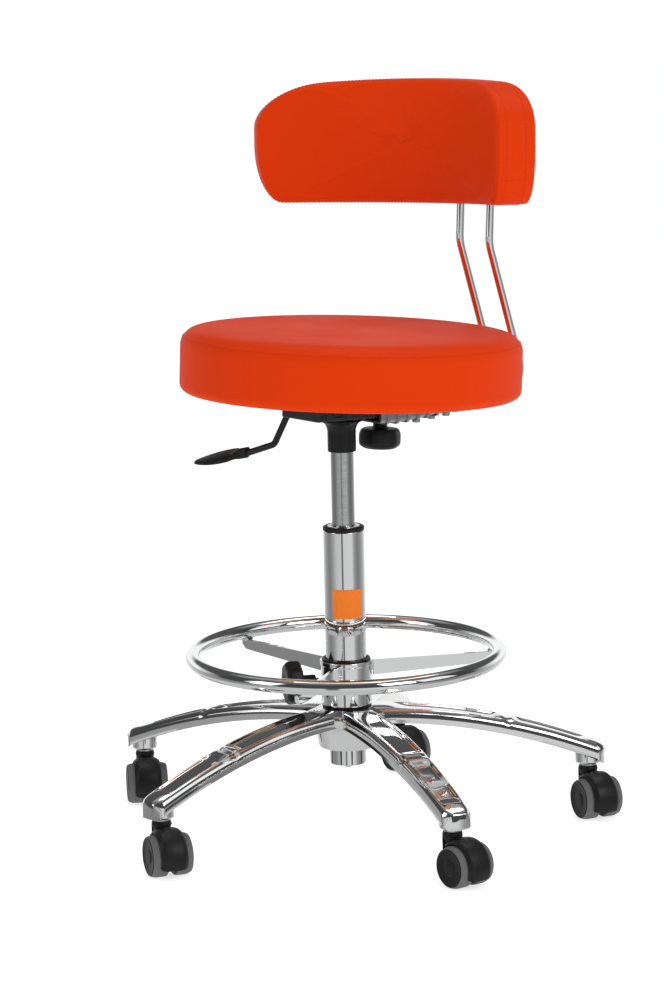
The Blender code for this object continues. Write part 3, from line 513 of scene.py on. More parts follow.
def turned_piece(name: str, corners: list, radii: float | list, look: Look, body: str,
                 stands_for: tuple = (), steps: int = 6, sides: int = 96, place: Place = COLUMN,
                 sharp: float = 40.0) -> None:
    """Make a piece by turning a closed outline with rounded corners about its place's Z."""
    outline = rounded(corners, radii, steps, closed=True)
    make(name, revolved(outline, sides).placed(place), look, body, stands_for, sharp)


# ==== cloth ======================================================================================
def settle(piece: bpy.types.Object, held: np.ndarray, pressure: float, cap: float, frames: int = 18) -> None:
    """Blow a closed cover up against its seams by cloth simulation and keep the result.

    Args:
        piece: a closed mesh with outward faces.
        held: one truth value for each vertex, True on seams and hidden parts.
        pressure: of the filling.
        cap: the furthest a point may move.
        frames: simulated frames.
    """
    mesh = piece.data
    rest = np.empty(len(mesh.vertices) * 3)
    mesh.vertices.foreach_get("co", rest)
    rest = rest.reshape(-1, 3)
    group = piece.vertex_groups.new(name="held")
    group.add(np.flatnonzero(held).tolist(), 1.0, "REPLACE")
    modifier = piece.modifiers.new("Cloth", "CLOTH")
    settings = modifier.settings
    settings.quality = 6
    settings.mass = 0.3
    settings.tension_stiffness = settings.compression_stiffness = 12.0
    settings.shear_stiffness = 5.0
    settings.bending_stiffness = 0.6
    settings.use_pressure = True
    settings.uniform_pressure_force = pressure
    settings.vertex_group_mass = "held"
    settings.effector_weights.gravity = 0.0
    modifier.collision_settings.use_collision = False
    modifier.point_cache.frame_start = 1
    modifier.point_cache.frame_end = frames
    scene = bpy.context.scene
    for step in range(1, frames + 1):
        scene.frame_set(step)
    shaped = piece.evaluated_get(bpy.context.evaluated_depsgraph_get()).data
    moved = np.empty(len(shaped.vertices) * 3)
    shaped.vertices.foreach_get("co", moved)
    shift = moved.reshape(-1, 3) - rest
    length = np.linalg.norm(shift, axis=1, keepdims=True)
    shift *= np.minimum(1.0, cap / np.maximum(length, 1e-9))
    piece.modifiers.remove(modifier)
    piece.vertex_groups.clear()
    scene.frame_set(1)
    mesh.vertices.foreach_set("co", (rest + shift).ravel())
    mesh.update()
    largest = float(np.linalg.norm(shift, axis=1).max())
    LOG.info("cloth on %s: largest move %.1f mm", piece.name, 1000 * largest)


def spread_along(line: np.ndarray, spacing: float, closed: bool) -> tuple:
    """Even points along a line, with their unit directions and their place in its point count."""
    loop = np.vstack([line, line[:1]]) if closed else line
    step = np.linalg.norm(np.diff(loop, axis=0), axis=1)
    run = np.concatenate([[0], np.cumsum(step)])
    count = max(2, int(run[-1] / spacing))
    at = (np.arange(count) + 0.5) * run[-1] / count
    where = np.interp(at, run, np.arange(len(loop)))
    points = np.column_stack([np.interp(at, run, loop[:, k]) for k in range(3)])
    ahead = np.column_stack([np.interp(np.minimum(at + 1e-3, run[-1]), run, loop[:, k]) for k in range(3)])
    behind = np.column_stack([np.interp(np.maximum(at - 1e-3, 0), run, loop[:, k]) for k in range(3)])
    along = ahead - behind
    along /= np.linalg.norm(along, axis=1, keepdims=True)
    return points, along, where


def stitch_row(line: np.ndarray, out: np.ndarray, closed: bool, spacing: float = 0.0046) -> Surface:
    """A row of stitches on a line whose surface normals are given point by point."""
    points, along, where = spread_along(line, spacing, closed)
    full = np.vstack([out, out[:1]]) if closed else out
    normal = np.column_stack([np.interp(where, np.arange(len(full)), full[:, k]) for k in range(3)])
    normal /= np.linalg.norm(normal, axis=1, keepdims=True)
    return capsules(points, along, normal, spacing * 0.66, 0.00036)


def vertex_grid(piece: bpy.types.Object, rows: int, columns: int) -> tuple:
    """The points and normals of a piece made from one grid, back in its rows and columns."""
    count = len(piece.data.vertices)
    points, normals = np.empty(count * 3), np.empty(count * 3)
    piece.data.vertices.foreach_get("co", points)
    piece.data.vertices.foreach_get("normal", normals)
    return points.reshape(rows, columns, 3), normals.reshape(rows, columns, 3)


def finish_cover(cover: bpy.types.Object, points: np.ndarray, normals: np.ndarray,
                 groove: np.ndarray) -> np.ndarray:
    """Press the seams into a cover, soften it by one subdivision and give its new points.

    Args:
        cover: the piece.
        points: its points in rows and columns.
        normals: their outward normals.
        groove: how deep each row is pressed in.
    """
    points = points - normals * groove[:, None, None]
    cover.data.vertices.foreach_set("co", points.ravel())
    cover.data.update()
    sub = cover.modifiers.new("Soften", "SUBSURF")
    sub.levels = sub.render_levels = 1
    return points


# ==== seat =======================================================================================
@dataclass
class Seat:
    """Round cushion in three vinyl panels over its board and pressed plate."""

    radius: float = 0.2062
    bottom: float = 0.5325
    thickness: float = 0.0762
    offset: float = 0.0145
    top_round: float = 0.0200
    bottom_round: float = 0.0105
    seam_turn: int = 5
    crown: float = 0.0008
    board_radius: float = 0.1900
    board_thickness: float = 0.0088
    columns: int = 180

    def profile(self) -> tuple:
        """The cover's profile from the middle of the top to the board's edge, and its seam row."""
        top = self.bottom + self.thickness
        reach = self.radius - self.top_round
        inner = np.linspace(0.004, reach, 26)
        flat = np.column_stack([inner, top + self.crown * (1 - (inner / reach) ** 2)])
        turn = np.linspace(0, math.pi / 2, 13)[1:]
        over = np.column_stack([reach + self.top_round * np.sin(turn),
                                top - self.top_round * (1 - np.cos(turn))])
        low = self.bottom + self.bottom_round
        wall_heights = np.linspace(top - self.top_round, low, 16)[1:]
        wall = np.column_stack([np.full(len(wall_heights), self.radius), wall_heights])
        base = self.radius - self.bottom_round
        under = np.column_stack([base + self.bottom_round * np.cos(turn),
                                 low - self.bottom_round * np.sin(turn)])
        mouth = self.board_radius + 0.0010
        tuck = np.column_stack([np.linspace(base, mouth, 4)[1:], np.full(3, self.bottom)])
        rows = np.concatenate([flat, over, wall, under, tuck])
        lift = np.array([[mouth, self.bottom + 0.0095], [0.004, self.bottom + 0.0095]])
        return np.concatenate([rows, lift]), len(flat) + self.seam_turn

    def build(self) -> None:
        """Make the cushion by cloth simulation, press its seam in and sew it."""
        profile, seam = self.profile()
        place = Place(SEAT.put(np.array([0, self.offset, 0])), SEAT.turn)
        surface = revolved(profile, self.columns, hollow=False).placed(place)
        cushion = make("seat_cushion_cover", surface, Look.VINYL, "seat",
                       ("seat_cushion",), sharp=60)
        rows = len(profile)
        row = np.repeat(np.arange(rows), self.columns)
        held = (row >= rows - 6) | (row == seam)
        settle(cushion, held, pressure=0.6, cap=0.0010)
        points, normals = vertex_grid(cushion, rows, self.columns)
        distance = np.abs(np.arange(rows) - seam)
        points = finish_cover(cushion, points, normals, 0.0007 * np.exp(-(distance / 0.7) ** 2))
        sewn = seam + 2
        make("seat_stitches", stitch_row(points[sewn], normals[sewn], True), Look.THREAD, "seat")
        self.build_board(place)

    def build_board(self, place: Place) -> None:
        """The plywood board in the cushion's underside."""
        low = self.bottom - 0.0005
        high = low + self.board_thickness
        board = solid([(0.002, low), (self.board_radius, low), (self.board_radius, high), (0.002, high)],
                      0.0012, 96)
        make("seat_board_ply", board.placed(place), Look.PLY, "seat", ("seat_board",))


# ==== backrest ===================================================================================
def corner_cut(from_end: np.ndarray, corner: tuple) -> np.ndarray:
    """How far an elliptic corner of (run, rise) has cut in: rise (1 - sqrt(1 - past^2))."""
    past = np.clip(1 - from_end / corner[0], 0, 1)
    return corner[1] * (1 - np.sqrt(1 - past ** 2))


@dataclass
class Backrest:
    """Curved upholstered pad on two chromed rods."""

    centre: tuple = (-0.0200, -0.0820)
    radius: float = 0.2880
    thickness: float = 0.0500
    start: float = math.radians(62)
    end: float = math.radians(147)
    bottom: float = 0.7560
    height: float = 0.1530
    roll: float = math.radians(-3.0)
    crown: float = 0.0115
    top_corner: tuple = (0.0870, 0.0480)
    bottom_corner: tuple = (0.0330, 0.0720)
    upright: float = 0.2090
    rod_radius: float = 0.0050
    rod_spacing: float = 0.0540
    rod_level: float = 0.5160
    rod_front: float = 0.0550
    rod_behind: float = 0.2660
    rod_lean: float = math.radians(20.7)
    lower_bend: float = 0.0350
    upper_bend: float = 0.0500
    edge: float = 0.0060
    columns: int = 200

    def outline(self) -> np.ndarray:
        """The pad seen flat: (along, up) from its middle.

        Each long edge is half the height from the middle, less the crown, which grows with the
        square of the distance from the middle, and less an elliptic corner toward the ends.
        """
        half = self.radius * (self.end - self.start) / 2
        along = half * np.sin(np.linspace(-math.pi / 2, math.pi / 2, 160))
        from_end = half - np.abs(along)
        top = self.height / 2 - self.crown * (along / half) ** 2 - corner_cut(from_end, self.top_corner)
        low = corner_cut(from_end, self.bottom_corner) - self.height / 2
        loop = np.concatenate([np.column_stack([along, low]), np.column_stack([along, top])[::-1]])
        return resampled(loop, self.columns)

    def bend(self, flat: np.ndarray) -> np.ndarray:
        """Wrap (along, up, out) points round the pad's arc: angle = middle + along / radius."""
        angle = (self.start + self.end) / 2 + flat[..., 0] / self.radius
        reach = self.radius + flat[..., 2]
        points = np.stack([self.centre[0] + reach * np.cos(angle), self.centre[1] + reach * np.sin(angle),
                           self.bottom + self.height / 2 + flat[..., 1]], axis=-1)
        pivot = np.array([0, self.upright, self.bottom])
        c, s = math.cos(self.roll), math.sin(self.roll)
        tip = np.array([[c, 0, s], [0, 1, 0], [-s, 0, c]])
        return (points - pivot) @ tip.T + pivot

    def cover_rows(self) -> tuple:
        """Rows of the cover from the front's middle to the back's, and the two seam rows."""
        loop = self.outline()
        inward = self.edge
        front, back = -self.thickness / 2, self.thickness / 2
        shrink = np.linspace(0.02, 1, 24)[:-1]
        size = np.abs(loop).max(axis=0)
        inset = loop * (1 - inward / size)
        rows = []
        for share in shrink:
            bulge = 0.0015 * (1 - share ** 4)
            rows.append(level(inset * share, front - bulge))
        turn = np.linspace(0, math.pi / 2, 7)
        for angle in turn:
            ring = inset + (loop - inset) * math.sin(angle)
            rows.append(level(ring, front + inward * (1 - math.cos(angle))))
        first = len(rows) - 1
        for share in np.linspace(0, 1, 9)[1:-1]:
            rows.append(level(loop, front + inward + share * (self.thickness - 2 * inward)))
        second = len(rows)
        for angle in turn[::-1]:
            ring = inset + (loop - inset) * math.sin(angle)
            rows.append(level(ring, back - inward * (1 - math.cos(angle))))
        for share in shrink[::-1]:
            rows.append(level(inset * share, back))
        return np.stack(rows), first, second

    def build(self) -> None:
        """Make the pad, its seams and stitches, and the two rods."""
        flat, first, second = self.cover_rows()
        surface = grid(SEAT.put(self.bend(flat)))
        pad = make("backrest_cover", surface, Look.VINYL, "backrest",
                   ("backrest_pad", "backrest_shell"), sharp=60)
        rows, columns = flat.shape[:2]
        row = np.repeat(np.arange(rows), columns)
        held = (row == first) | (row == second) | (row > second + 8)
        settle(pad, held, pressure=1.0, cap=0.0016)
        points, normals = vertex_grid(pad, rows, columns)
        near = np.minimum(np.abs(np.arange(rows) - first), np.abs(np.arange(rows) - second))
        points = finish_cover(pad, points, normals, 0.0009 * np.exp(-(near / 0.6) ** 2))
        threads = [stitch_row(0.5 * (points[r] + points[s]), normals[r], True)
                   for r, s in ((first - 1, first - 2), (first + 1, first + 2), (second - 1, second - 2))]
        threads.append(self.cross_seam(points, normals, first, second))
        make("backrest_stitches", join(*threads), Look.THREAD, "backrest")
        self.build_rods()

    def cross_seam(self, points: np.ndarray, normals: np.ndarray, first: int, second: int) -> Surface:
        """The short seams across the boxing, low on each end, each with its stitches."""
        up = SEAT.turn[:, 2]
        level = (points[first] - SEAT.put(np.array([0, self.upright, self.bottom]))) @ up
        parts = []
        half = self.columns // 2
        for side in (range(0, half), range(half, self.columns)):
            pick = list(side)
            ends = [k for k in pick if abs(level[k] - 0.036) == min(abs(level[j] - 0.036) for j in pick)]
            column = ends[0]
            line = points[first:second + 1, column]
            parts.append(stitch_row(line, normals[first:second + 1, column], False, 0.0042))
        return join(*parts)

    def build_rods(self) -> None:
        """Two bent rods: a run under the seat, a lean and an upright that enters the pad."""
        bend = math.pi / 2 + self.rod_lean
        foot = self.rod_behind - self.lower_bend + self.lower_bend * math.tan(bend / 2)
        knee = self.rod_level + (foot - self.upright) / math.tan(self.rod_lean)
        corners = [(self.rod_front, self.rod_level), (foot, self.rod_level), (self.upright, knee),
                   (self.upright, self.bottom + 0.040)]
        line = arc_path(corners, (self.lower_bend, self.upper_bend))
        for side, word in ((1, "left"), (-1, "right")):
            path = np.column_stack([np.full(len(line), side * self.rod_spacing / 2), line])
            rod = swept(path, circle(self.rod_radius, 40), np.array([1.0, 0, 0])).placed(SEAT)
            make(f"back_rod_{word}_chrome", rod, Look.CHROME, "backrest",
                 (f"back_rod_{word}",))


def arc_path(corners: list, radii: tuple, steps: int = 18) -> np.ndarray:
    """A flat path of straight runs joined by true arcs of the given radii."""
    points = [np.array(corners[0], float)[None]]
    for i, radius in enumerate(radii, start=1):
        before, here, after = (np.array(corners[k], float) for k in (i - 1, i, i + 1))
        into = (here - before) / np.linalg.norm(here - before)
        out = (after - here) / np.linalg.norm(after - here)
        turn = math.acos(float(np.clip(into @ out, -1, 1)))
        side = np.sign(into[0] * out[1] - into[1] * out[0])
        start = here - into * radius * math.tan(turn / 2)
        centre = start + side * radius * np.array([-into[1], into[0]])
        angle = side * np.linspace(0, turn, steps)
        spoke = start - centre
        points.append(centre + np.column_stack([spoke[0] * np.cos(angle) - spoke[1] * np.sin(angle),
                                                spoke[0] * np.sin(angle) + spoke[1] * np.cos(angle)]))
    points.append(np.array(corners[-1], float)[None])
    return np.concatenate(points)


# ==== base =======================================================================================
@dataclass
class Base:
    """Polished five-arm casting."""

    stem_circle: float = 0.2960
    tip: float = 0.0205
    width_hub: float = 0.0490
    width_tip: float = 0.0365
    top_hub: float = 0.1500
    top_tip: float = 0.0873
    bottom_hub: float = 0.1302
    bottom_tip: float = 0.0660
    hub_radius: float = 0.0425
    hub_top: float = 0.1497
    skirt: float = 0.0993

    def arm(self) -> Surface:
        """One arm along X.

        The section at station s is a closed loop: a top whose height is the arched spine minus a
        rounded shoulder and minus two dishes, an inner one to 0.56 of the length and an outer one
        beyond a cross rib, then straight sides and an underside hollowed between its rims.
        """
        stations = np.concatenate([np.linspace(0, 0.95, 84), np.linspace(0.955, 1, 14)])[:, None]
        start, end = self.hub_radius - 0.022, self.stem_circle + self.tip
        across = np.linspace(-1, 1, 41)[None, :]
        drop = stations ** 2
        width = self.width_hub + (self.width_tip - self.width_hub) * stations
        top = self.top_hub + (self.top_tip - self.top_hub) * drop
        low = self.bottom_hub + (self.bottom_tip - self.bottom_hub) * drop
        left = (1 - stations) * (end - start)
        tip = np.clip(1 - left / 0.0110, 0, 1)
        half = width / 2 * (1 - 0.20 * (1 - np.sqrt(1 - 0.98 * tip ** 2)))
        shoulder = 0.0085 * np.abs(across) ** 5 + 0.0035 * (1 - np.sqrt(1 - 0.98 * tip ** 2))
        along_inner = smoothstep(0.08, 0.20, stations) * (1 - smoothstep(0.52, 0.575, stations))
        along_outer = smoothstep(0.605, 0.66, stations) * (1 - smoothstep(0.88, 0.95, stations))
        dish = (1 - smoothstep(0.50, 0.80, np.abs(across))) * (0.0048 * along_inner + 0.0040 * along_outer)
        notch = 0.0020 * np.exp(-((stations - 0.590) / 0.008) ** 2)
        height = top - shoulder - dish - notch
        reach = start + (end - start) * stations
        curved = reach - 0.0060 * tip * np.abs(across) ** 4
        upper = np.stack([curved, half * across, height], axis=-1)
        floor_across = np.array([1.0, 1.0, 0.97, 0.80, 0.76, 0.0, -0.76, -0.80, -0.97, -1.0, -1.0])[None, :]
        hollow = (1 - smoothstep(0.86, 0.93, stations)) * np.array(
            [0, 0, 0, 0.0002, 0.006, 0.007, 0.006, 0.0002, 0, 0, 0])[None, :]
        rise = np.array([0.40, 0.05, 0, 0, 0, 0, 0, 0, 0, 0.05, 0.40])[None, :] * (top - 0.0100 - low)
        curved = reach - 0.0060 * tip * np.abs(floor_across) ** 4
        lower = np.stack([curved, half * floor_across, low + rise + hollow], axis=-1)
        return grid(np.concatenate([upper, lower], axis=1))

    def build(self) -> None:
        """Make the star: five arms on a flared hub with its skirt and lip."""
        bore = 0.0253
        hub = rounded([(bore, self.hub_top), (0.0325, self.hub_top), (0.0350, self.hub_top - 0.0010),
                       (0.0500, self.hub_top - 0.0060), (0.0480, self.hub_top - 0.0180),
                       (0.0400, self.hub_top - 0.0240), (0.0350, self.skirt), (0.0245, self.skirt),
                       (0.0235, self.skirt + 0.010), (bore, self.hub_top - 0.0140)],
                      [0.0006, 0.001, 0.003, 0.006, 0.006, 0.006, 0.0015, 0.001, 0.001, 0.001],
                      steps=6, closed=True)
        parts = [revolved(hub, 96).placed(COLUMN)]
        arm = self.arm()
        boss = solid([(0.002, 0.0650), (0.0150, 0.0650), (0.0156, 0.0665), (0.0156, 0.0800),
                      (0.002, 0.0800)], 0.0010, 40)
        for index in range(1, 6):
            parts.append(arm.placed(arm_place(index)))
            parts.append(boss.placed(caster_place(index)))
        make("base_star_cast", join(*parts), Look.ALUMINIUM, "base",
             ("base_star",), sharp=50)


# ==== column =====================================================================================
@dataclass
class Column:
    """Chromed column with its cap, label and gas lift."""

    radius: float = 0.0250
    foot_radius: float = 0.0222
    foot: float = 0.0780
    top: float = 0.3670
    cap_top: float = 0.3728

    def build(self) -> None:
        """Make the tube, cap, label, cylinder and sleeve."""
        inner, bore = self.radius - 0.0019, 0.0146
        turned_piece("column_chromed",
                     [(0.0050, self.foot), (self.foot_radius, self.foot), (self.foot_radius, 0.1050),
                      (self.radius, 0.1380), (self.radius, self.top), (inner, self.top), (inner, 0.1380),
                      (0.0200, 0.1050), (0.0200, self.foot + 0.004), (0.0050, self.foot + 0.004)],
                     0.0008, Look.CHROME, "base", ("column_tube",), steps=3, sides=160, sharp=50)
        turned_piece("column_cap_ring",
                     [(bore, self.top + 0.0002), (self.radius + 0.0003, self.top + 0.0002),
                      (self.radius + 0.0003, self.cap_top - 0.0015), (0.0222, self.cap_top),
                      (0.0200, self.cap_top - 0.0010), (bore, self.cap_top - 0.0016)],
                     0.0009, Look.BLACK, "base", ("column_cap",), steps=4, sides=128)
        turned_piece("column_cap_insert",
                     [(bore, self.cap_top - 0.0014), (0.0198, self.cap_top - 0.0008),
                      (0.0196, self.cap_top - 0.0002), (bore, self.cap_top - 0.0004)],
                     0.0001, Look.STEEL, "base")
        turned_piece("gas_cylinder_ground",
                     [(0.0046, 0.1900), (0.0140, 0.1900), (0.0140, 0.4930), (0.0133, 0.5098),
                      (0.0040, 0.5098), (0.0040, 0.4900), (0.0115, 0.4900), (0.0115, 0.1950),
                      (0.0046, 0.1950)],
                     0.0006, Look.STEEL, "seat", ("gas_cylinder",), steps=3, sides=128)
        turned_piece("taper_sleeve_moulded",
                     [(0.0143, 0.4636), (0.0172, 0.4636), (0.0172, 0.4905), (0.0200, 0.4975),
                      (0.0262, 0.5010), (0.0262, 0.5020), (0.0143, 0.5020)],
                     [0.0004, 0.0008, 0.006, 0.006, 0.0004, 0.0004, 0.0004],
                     Look.BLACK, "seat", ("taper_sleeve",), steps=8, sharp=60)
        self.build_label()

    def build_label(self) -> None:
        """A plain wrapped label with rounded corners: a rounded rectangle rolled on the tube."""
        low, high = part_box("column_label")
        middle = (np.array(low) + np.array(high)) / 2
        facing = math.atan2(middle[1] - AXIS[1], middle[0] - AXIS[0])
        half, tall = 0.01875, (high[2] - low[2]) / 2
        loop = resampled(rounded([(-half, -tall), (half, -tall), (half, tall), (-half, tall)], 0.002,
                                 steps=5, closed=True), 160)
        shrink = np.linspace(0.03, 1, 24)[:, None, None]
        flat = loop[None] * shrink
        layers = [np.concatenate([flat, np.full(flat.shape[:2] + (1,), depth)], axis=-1)
                  for depth in (0.00060, 0.00032)]
        rows = np.concatenate([layers[0], layers[1][::-1]])
        angle = facing + rows[..., 0] / self.radius
        reach = self.radius + rows[..., 2]
        points = np.stack([reach * np.cos(angle), reach * np.sin(angle), middle[2] + rows[..., 1]], axis=-1)
        make("column_label_patch", grid(points).placed(COLUMN), Look.LABEL, "base",
             ("column_label",))


# ==== foot ring ==================================================================================
@dataclass
class FootRing:
    """Chromed ring on three flat spokes with a clamping collar and knob."""

    radius: float = 0.1862
    tube: float = 0.0090
    height: float = 0.2137
    collar: float = 0.0310
    knob_angle: float = math.radians(242)
    knob_height: float = 0.1815
    first_spoke: float = math.radians(-58)

    def build(self) -> None:
        """Make the ring, collar, bush, spokes with their welds, and the knob."""
        path = level(circle(self.radius, 240), self.height)
        ring = swept(path, circle(self.tube, 36), np.array([0, 0, 1.0]), closed=True).placed(COLUMN)
        make("foot_ring_chromed", ring, Look.CHROME, "foot_ring",
             ("foot_ring_tube",))
        low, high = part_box("foot_ring_collar")
        lip = self.collar + 0.0012
        turned_piece("foot_ring_collar_chromed",
                     [(0.0287, low[2]), (self.collar, low[2]), (self.collar, high[2] - 0.006),
                      (lip, high[2] - 0.0055), (lip, high[2]), (0.0287, high[2])],
                     0.0009, Look.CHROME, "foot_ring", ("foot_ring_collar",), steps=4, sides=128)
        base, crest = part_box("foot_ring_bush")
        turned_piece("foot_ring_bush_moulded",
                     [(0.0259, base[2]), (0.0300, base[2]), (0.0300, base[2] + 0.0019),
                      (0.0281, base[2] + 0.0019), (0.0281, crest[2] - 0.0019), (0.0298, crest[2] - 0.0019),
                      (0.0290, crest[2]), (0.0259, crest[2])],
                     0.0003, Look.BLACK, "foot_ring_slider", ("foot_ring_bush",), steps=3)
        self.build_spokes()
        self.build_knob()

    def build_spokes(self) -> None:
        """Flat bars on edge, tapering outward, with a bead of weld at both ends."""
        top = self.height - self.tube - 0.0003
        start, end = self.collar + 0.0002, self.radius + 0.0045
        section = rounded([(-0.0025, 0), (0.0025, 0), (0.0025, 1), (-0.0025, 1)], 0.0009, steps=3,
                          closed=True)
        for index in range(3):
            place = COLUMN.turned(self.first_spoke + TURN * index / 3)
            reach = np.linspace(start, end, 24)
            share = (reach - start) / (end - start)
            depth = 0.0190 + (0.0120 - 0.0190) * share
            depth = depth - 0.0055 * smoothstep(0.955, 1.0, share)
            lift = np.clip(section[:, 1], 0, 1)
            points = np.stack([np.repeat(reach[:, None], len(section), 1),
                               np.repeat(section[None, :, 0], len(reach), 0),
                               top - depth[:, None] * (1 - lift[None, :])], axis=-1)
            parts = [grid(points)]
            for side in (-1, 1):
                heights = np.linspace(top - 0.0185, top - 0.0005, 26)
                wobble = 0.0001 * np.sin(np.arange(26) * 2.1 + index)
                bead = np.column_stack([np.full(26, start + 0.0004), side * (0.0029 + wobble), heights])
                size = 0.0016 + 0.00022 * np.sin(np.arange(26) * 1.9 + 0.7 * index)
                parts.append(swept(bead, circle(1.0, 12), np.array([0, 1.0, 0]), scale=size))
                run = np.linspace(self.radius - 0.008, self.radius + 0.0045, 16)
                under = top - 0.0002 + 0.0026 * np.abs((run - self.radius) / self.tube) ** 2
                lump = np.column_stack([run, np.full(16, side * 0.0026), under])
                swell = 0.0017 + 0.0003 * np.sin(np.arange(16) * 1.7)
                parts.append(swept(lump, circle(1.0, 12), np.array([0, 1.0, 0]), scale=swell))
            node = f"foot_ring_spoke_{index + 1}"
            make(f"{node}_welded", join(*parts).placed(place), Look.CHROME, "foot_ring", (node,))

    def build_knob(self) -> None:
        """Moulded clamp knob: radius = r + a cos(8 t) on the grip, smooth on neck and face."""
        place = COLUMN.turned(self.knob_angle)
        toward = Place(place.put(np.array([0, 0, self.knob_height])),
                       place.turn @ np.array([[0, 0, 1.0], [0, 1.0, 0], [-1.0, 0, 0]]))
        profile = rounded([(0.0012, 0.0293), (0.0040, 0.0293), (0.0040, 0.0388), (0.0085, 0.0388),
                           (0.0085, 0.0560), (0.0240, 0.0570), (0.0268, 0.0600), (0.0268, 0.0728),
                           (0.0235, 0.0765), (0.0100, 0.0768), (0.0090, 0.0758), (0.0012, 0.0758)], 0.0014,
                          steps=5)
        surface = lobed(profile, 8, 0.0008, 0.020)
        make("foot_ring_knob_moulded", surface.placed(toward), Look.BLACK, "foot_ring_clamp",
             ("foot_ring_knob",))


def lobed(profile: np.ndarray, lobes: int, swell: float, from_radius: float) -> Surface:
    """Turn a profile about Z with shallow lobes: r + swell cos(lobes t) where r passes a radius."""
    sides = 144
    angle = np.arange(sides) * TURN / sides
    radius = profile[:, :1] + 0 * angle
    weight = smoothstep(from_radius * 0.9, from_radius * 1.2, radius)
    radius = radius + swell * weight * (np.cos(lobes * angle) - 1.0)
    points = np.stack([radius * np.cos(angle), radius * np.sin(angle), profile[:, 1:] + 0 * angle], axis=-1)
    return grid(points)


# ==== mechanism ==================================================================================
@dataclass
class Mechanism:
    """Cast housing, pressed plate, backrest bracket, knob and height lever under the seat."""

    lever_angle: float = math.radians(200)
    lever_path: tuple = ((-0.003, 0.5190), (0.066, 0.5190), (0.092, 0.4640), (0.138, 0.4470))
    bracket_width: float = 0.0800

    def build(self) -> None:
        """Make every piece between the gas lift and the seat."""
        self.build_housing()
        self.build_plate()
        self.build_bracket()
        self.build_knob()
        self.build_lever()

    def build_housing(self) -> None:
        """The housing's shell keeps its CAD form with ribs and a framed window on its sides."""
        parts = []
        for side in (-1, 1):
            for y in (-0.050, -0.018, 0.014):
                parts.append(box_surface((side * 0.0340 - 0.0012, y - 0.0012, 0.5065),
                                         (side * 0.0340 + 0.0012, y + 0.0012, 0.5275), 0.0005))
        frame_loop = [(-0.040, 0.5095), (-0.026, 0.5095), (-0.026, 0.5235), (-0.040, 0.5235)]
        path = rounded(frame_loop, 0.0015, steps=3, closed=True)
        for side in (-1, 1):
            line = np.column_stack([np.full(len(path), side * 0.0343), path])
            parts.append(swept(line, circle(0.0009, 10), np.array([1.0, 0, 0]), closed=True))
        make("mechanism_ribs", join(*parts).placed(SEAT), Look.HOUSING, "seat")

    def build_plate(self) -> None:
        """Pressed plate with rounded corners and a shallow rolled rim."""
        low, high = 0.5283, 0.5316
        parts = [box_surface((-0.085, -0.0755, low), (0.085, 0.1235, high), 0.0013)]
        head = solid([(0.0004, low - 0.0030), (0.0035, low - 0.0030), (0.0060, low - 0.0012),
                      (0.0060, low + 0.0010), (0.0004, low + 0.0010)], 0.0008, 32)
        for side in (-1, 1):
            for y in (-0.066, 0.108):
                parts.append(head.placed(upright_at(side * 0.070, y)))
        make("seat_plate_pressed", join(*parts).placed(SEAT), Look.DARK, "seat",
             ("seat_plate",))

    def build_bracket(self) -> None:
        """Open cast channel round the rods' carriage, its floor rising toward the back, with ribs.

        The cross-section is a U: cheeks at both sides and a floor, whose height is the front
        height plus a rise that grows along the channel.
        """
        half, wall, top = self.bracket_width / 2, 0.0030, 0.5277
        start, end = 0.0300, 0.1620
        y = np.linspace(start, end, 34)
        floor = 0.4986 + 0.0085 * smoothstep(start + 0.02, end, y)
        soft = 0.0050
        rows = []
        for at, low in zip(y, floor):
            inside, upper = half - wall, low + wall - 0.0008
            outer = rounded([(half, top), (half, low), (-half, low), (-half, top)], [0, soft, soft, 0],
                            steps=5)
            inner = rounded([(-inside, top), (-inside, upper), (inside, upper), (inside, top)],
                            [0, soft / 2, soft / 2, 0], steps=5)
            loop = np.concatenate([outer, inner])
            rows.append(np.column_stack([loop[:, 0], np.full(len(loop), at), loop[:, 1]]))
        parts = [grid(np.stack(rows))]
        for k in range(8):
            at = 0.0390 + 0.0160 * k
            low = float(np.interp(at, y, floor)) - 0.0016
            edge, crest = half + 0.0016, top - 0.0006
            outer = rounded([(edge, crest), (edge, low), (-edge, low), (-edge, crest)], [0, soft, soft, 0],
                            steps=5)
            inner = outer * np.array([1 - 0.0022 / half, 1.0]) + np.array([0, 0.0022])
            inner[:, 1] = np.minimum(inner[:, 1], crest)
            loop = np.concatenate([outer, inner[::-1]])
            ends = [np.column_stack([loop[:, 0], np.full(len(loop), at + shift), loop[:, 1]])
                    for shift in (0, 0.0034)]
            parts.append(grid(np.stack(ends)))
        for k in range(3):
            along = 0.092 + 0.024 * k
            low = float(np.interp(along, y, floor))
            bolt = solid([(0.0004, low - 0.0050), (0.0042, low - 0.0050), (0.0050, low - 0.0038),
                          (0.0050, low - 0.0002), (0.0004, low - 0.0001)], 0.0006, 28)
            parts.append(bolt.placed(upright_at(half - 0.007, along)))
        make("back_bracket_channel", join(*parts).placed(SEAT), Look.CASTING, "seat", ("back_bracket",))

    def build_knob(self) -> None:
        """Round clamp knob on its stem, with shallow grip lobes."""
        profile = rounded([(0.0008, 0.4632), (0.0190, 0.4630), (0.0250, 0.4670), (0.0258, 0.4720),
                           (0.0256, 0.4820), (0.0225, 0.4875), (0.0120, 0.4880), (0.0086, 0.4892),
                           (0.0085, 0.4976), (0.0008, 0.4978)], 0.0022, steps=6)
        place = Place(SEAT.put(np.array([0, 0.0630, 0])), SEAT.turn)
        make("back_knob_moulded", lobed(profile, 6, 0.0006, 0.020).placed(place), Look.BLACK, "back_clamp",
             ("back_knob",))

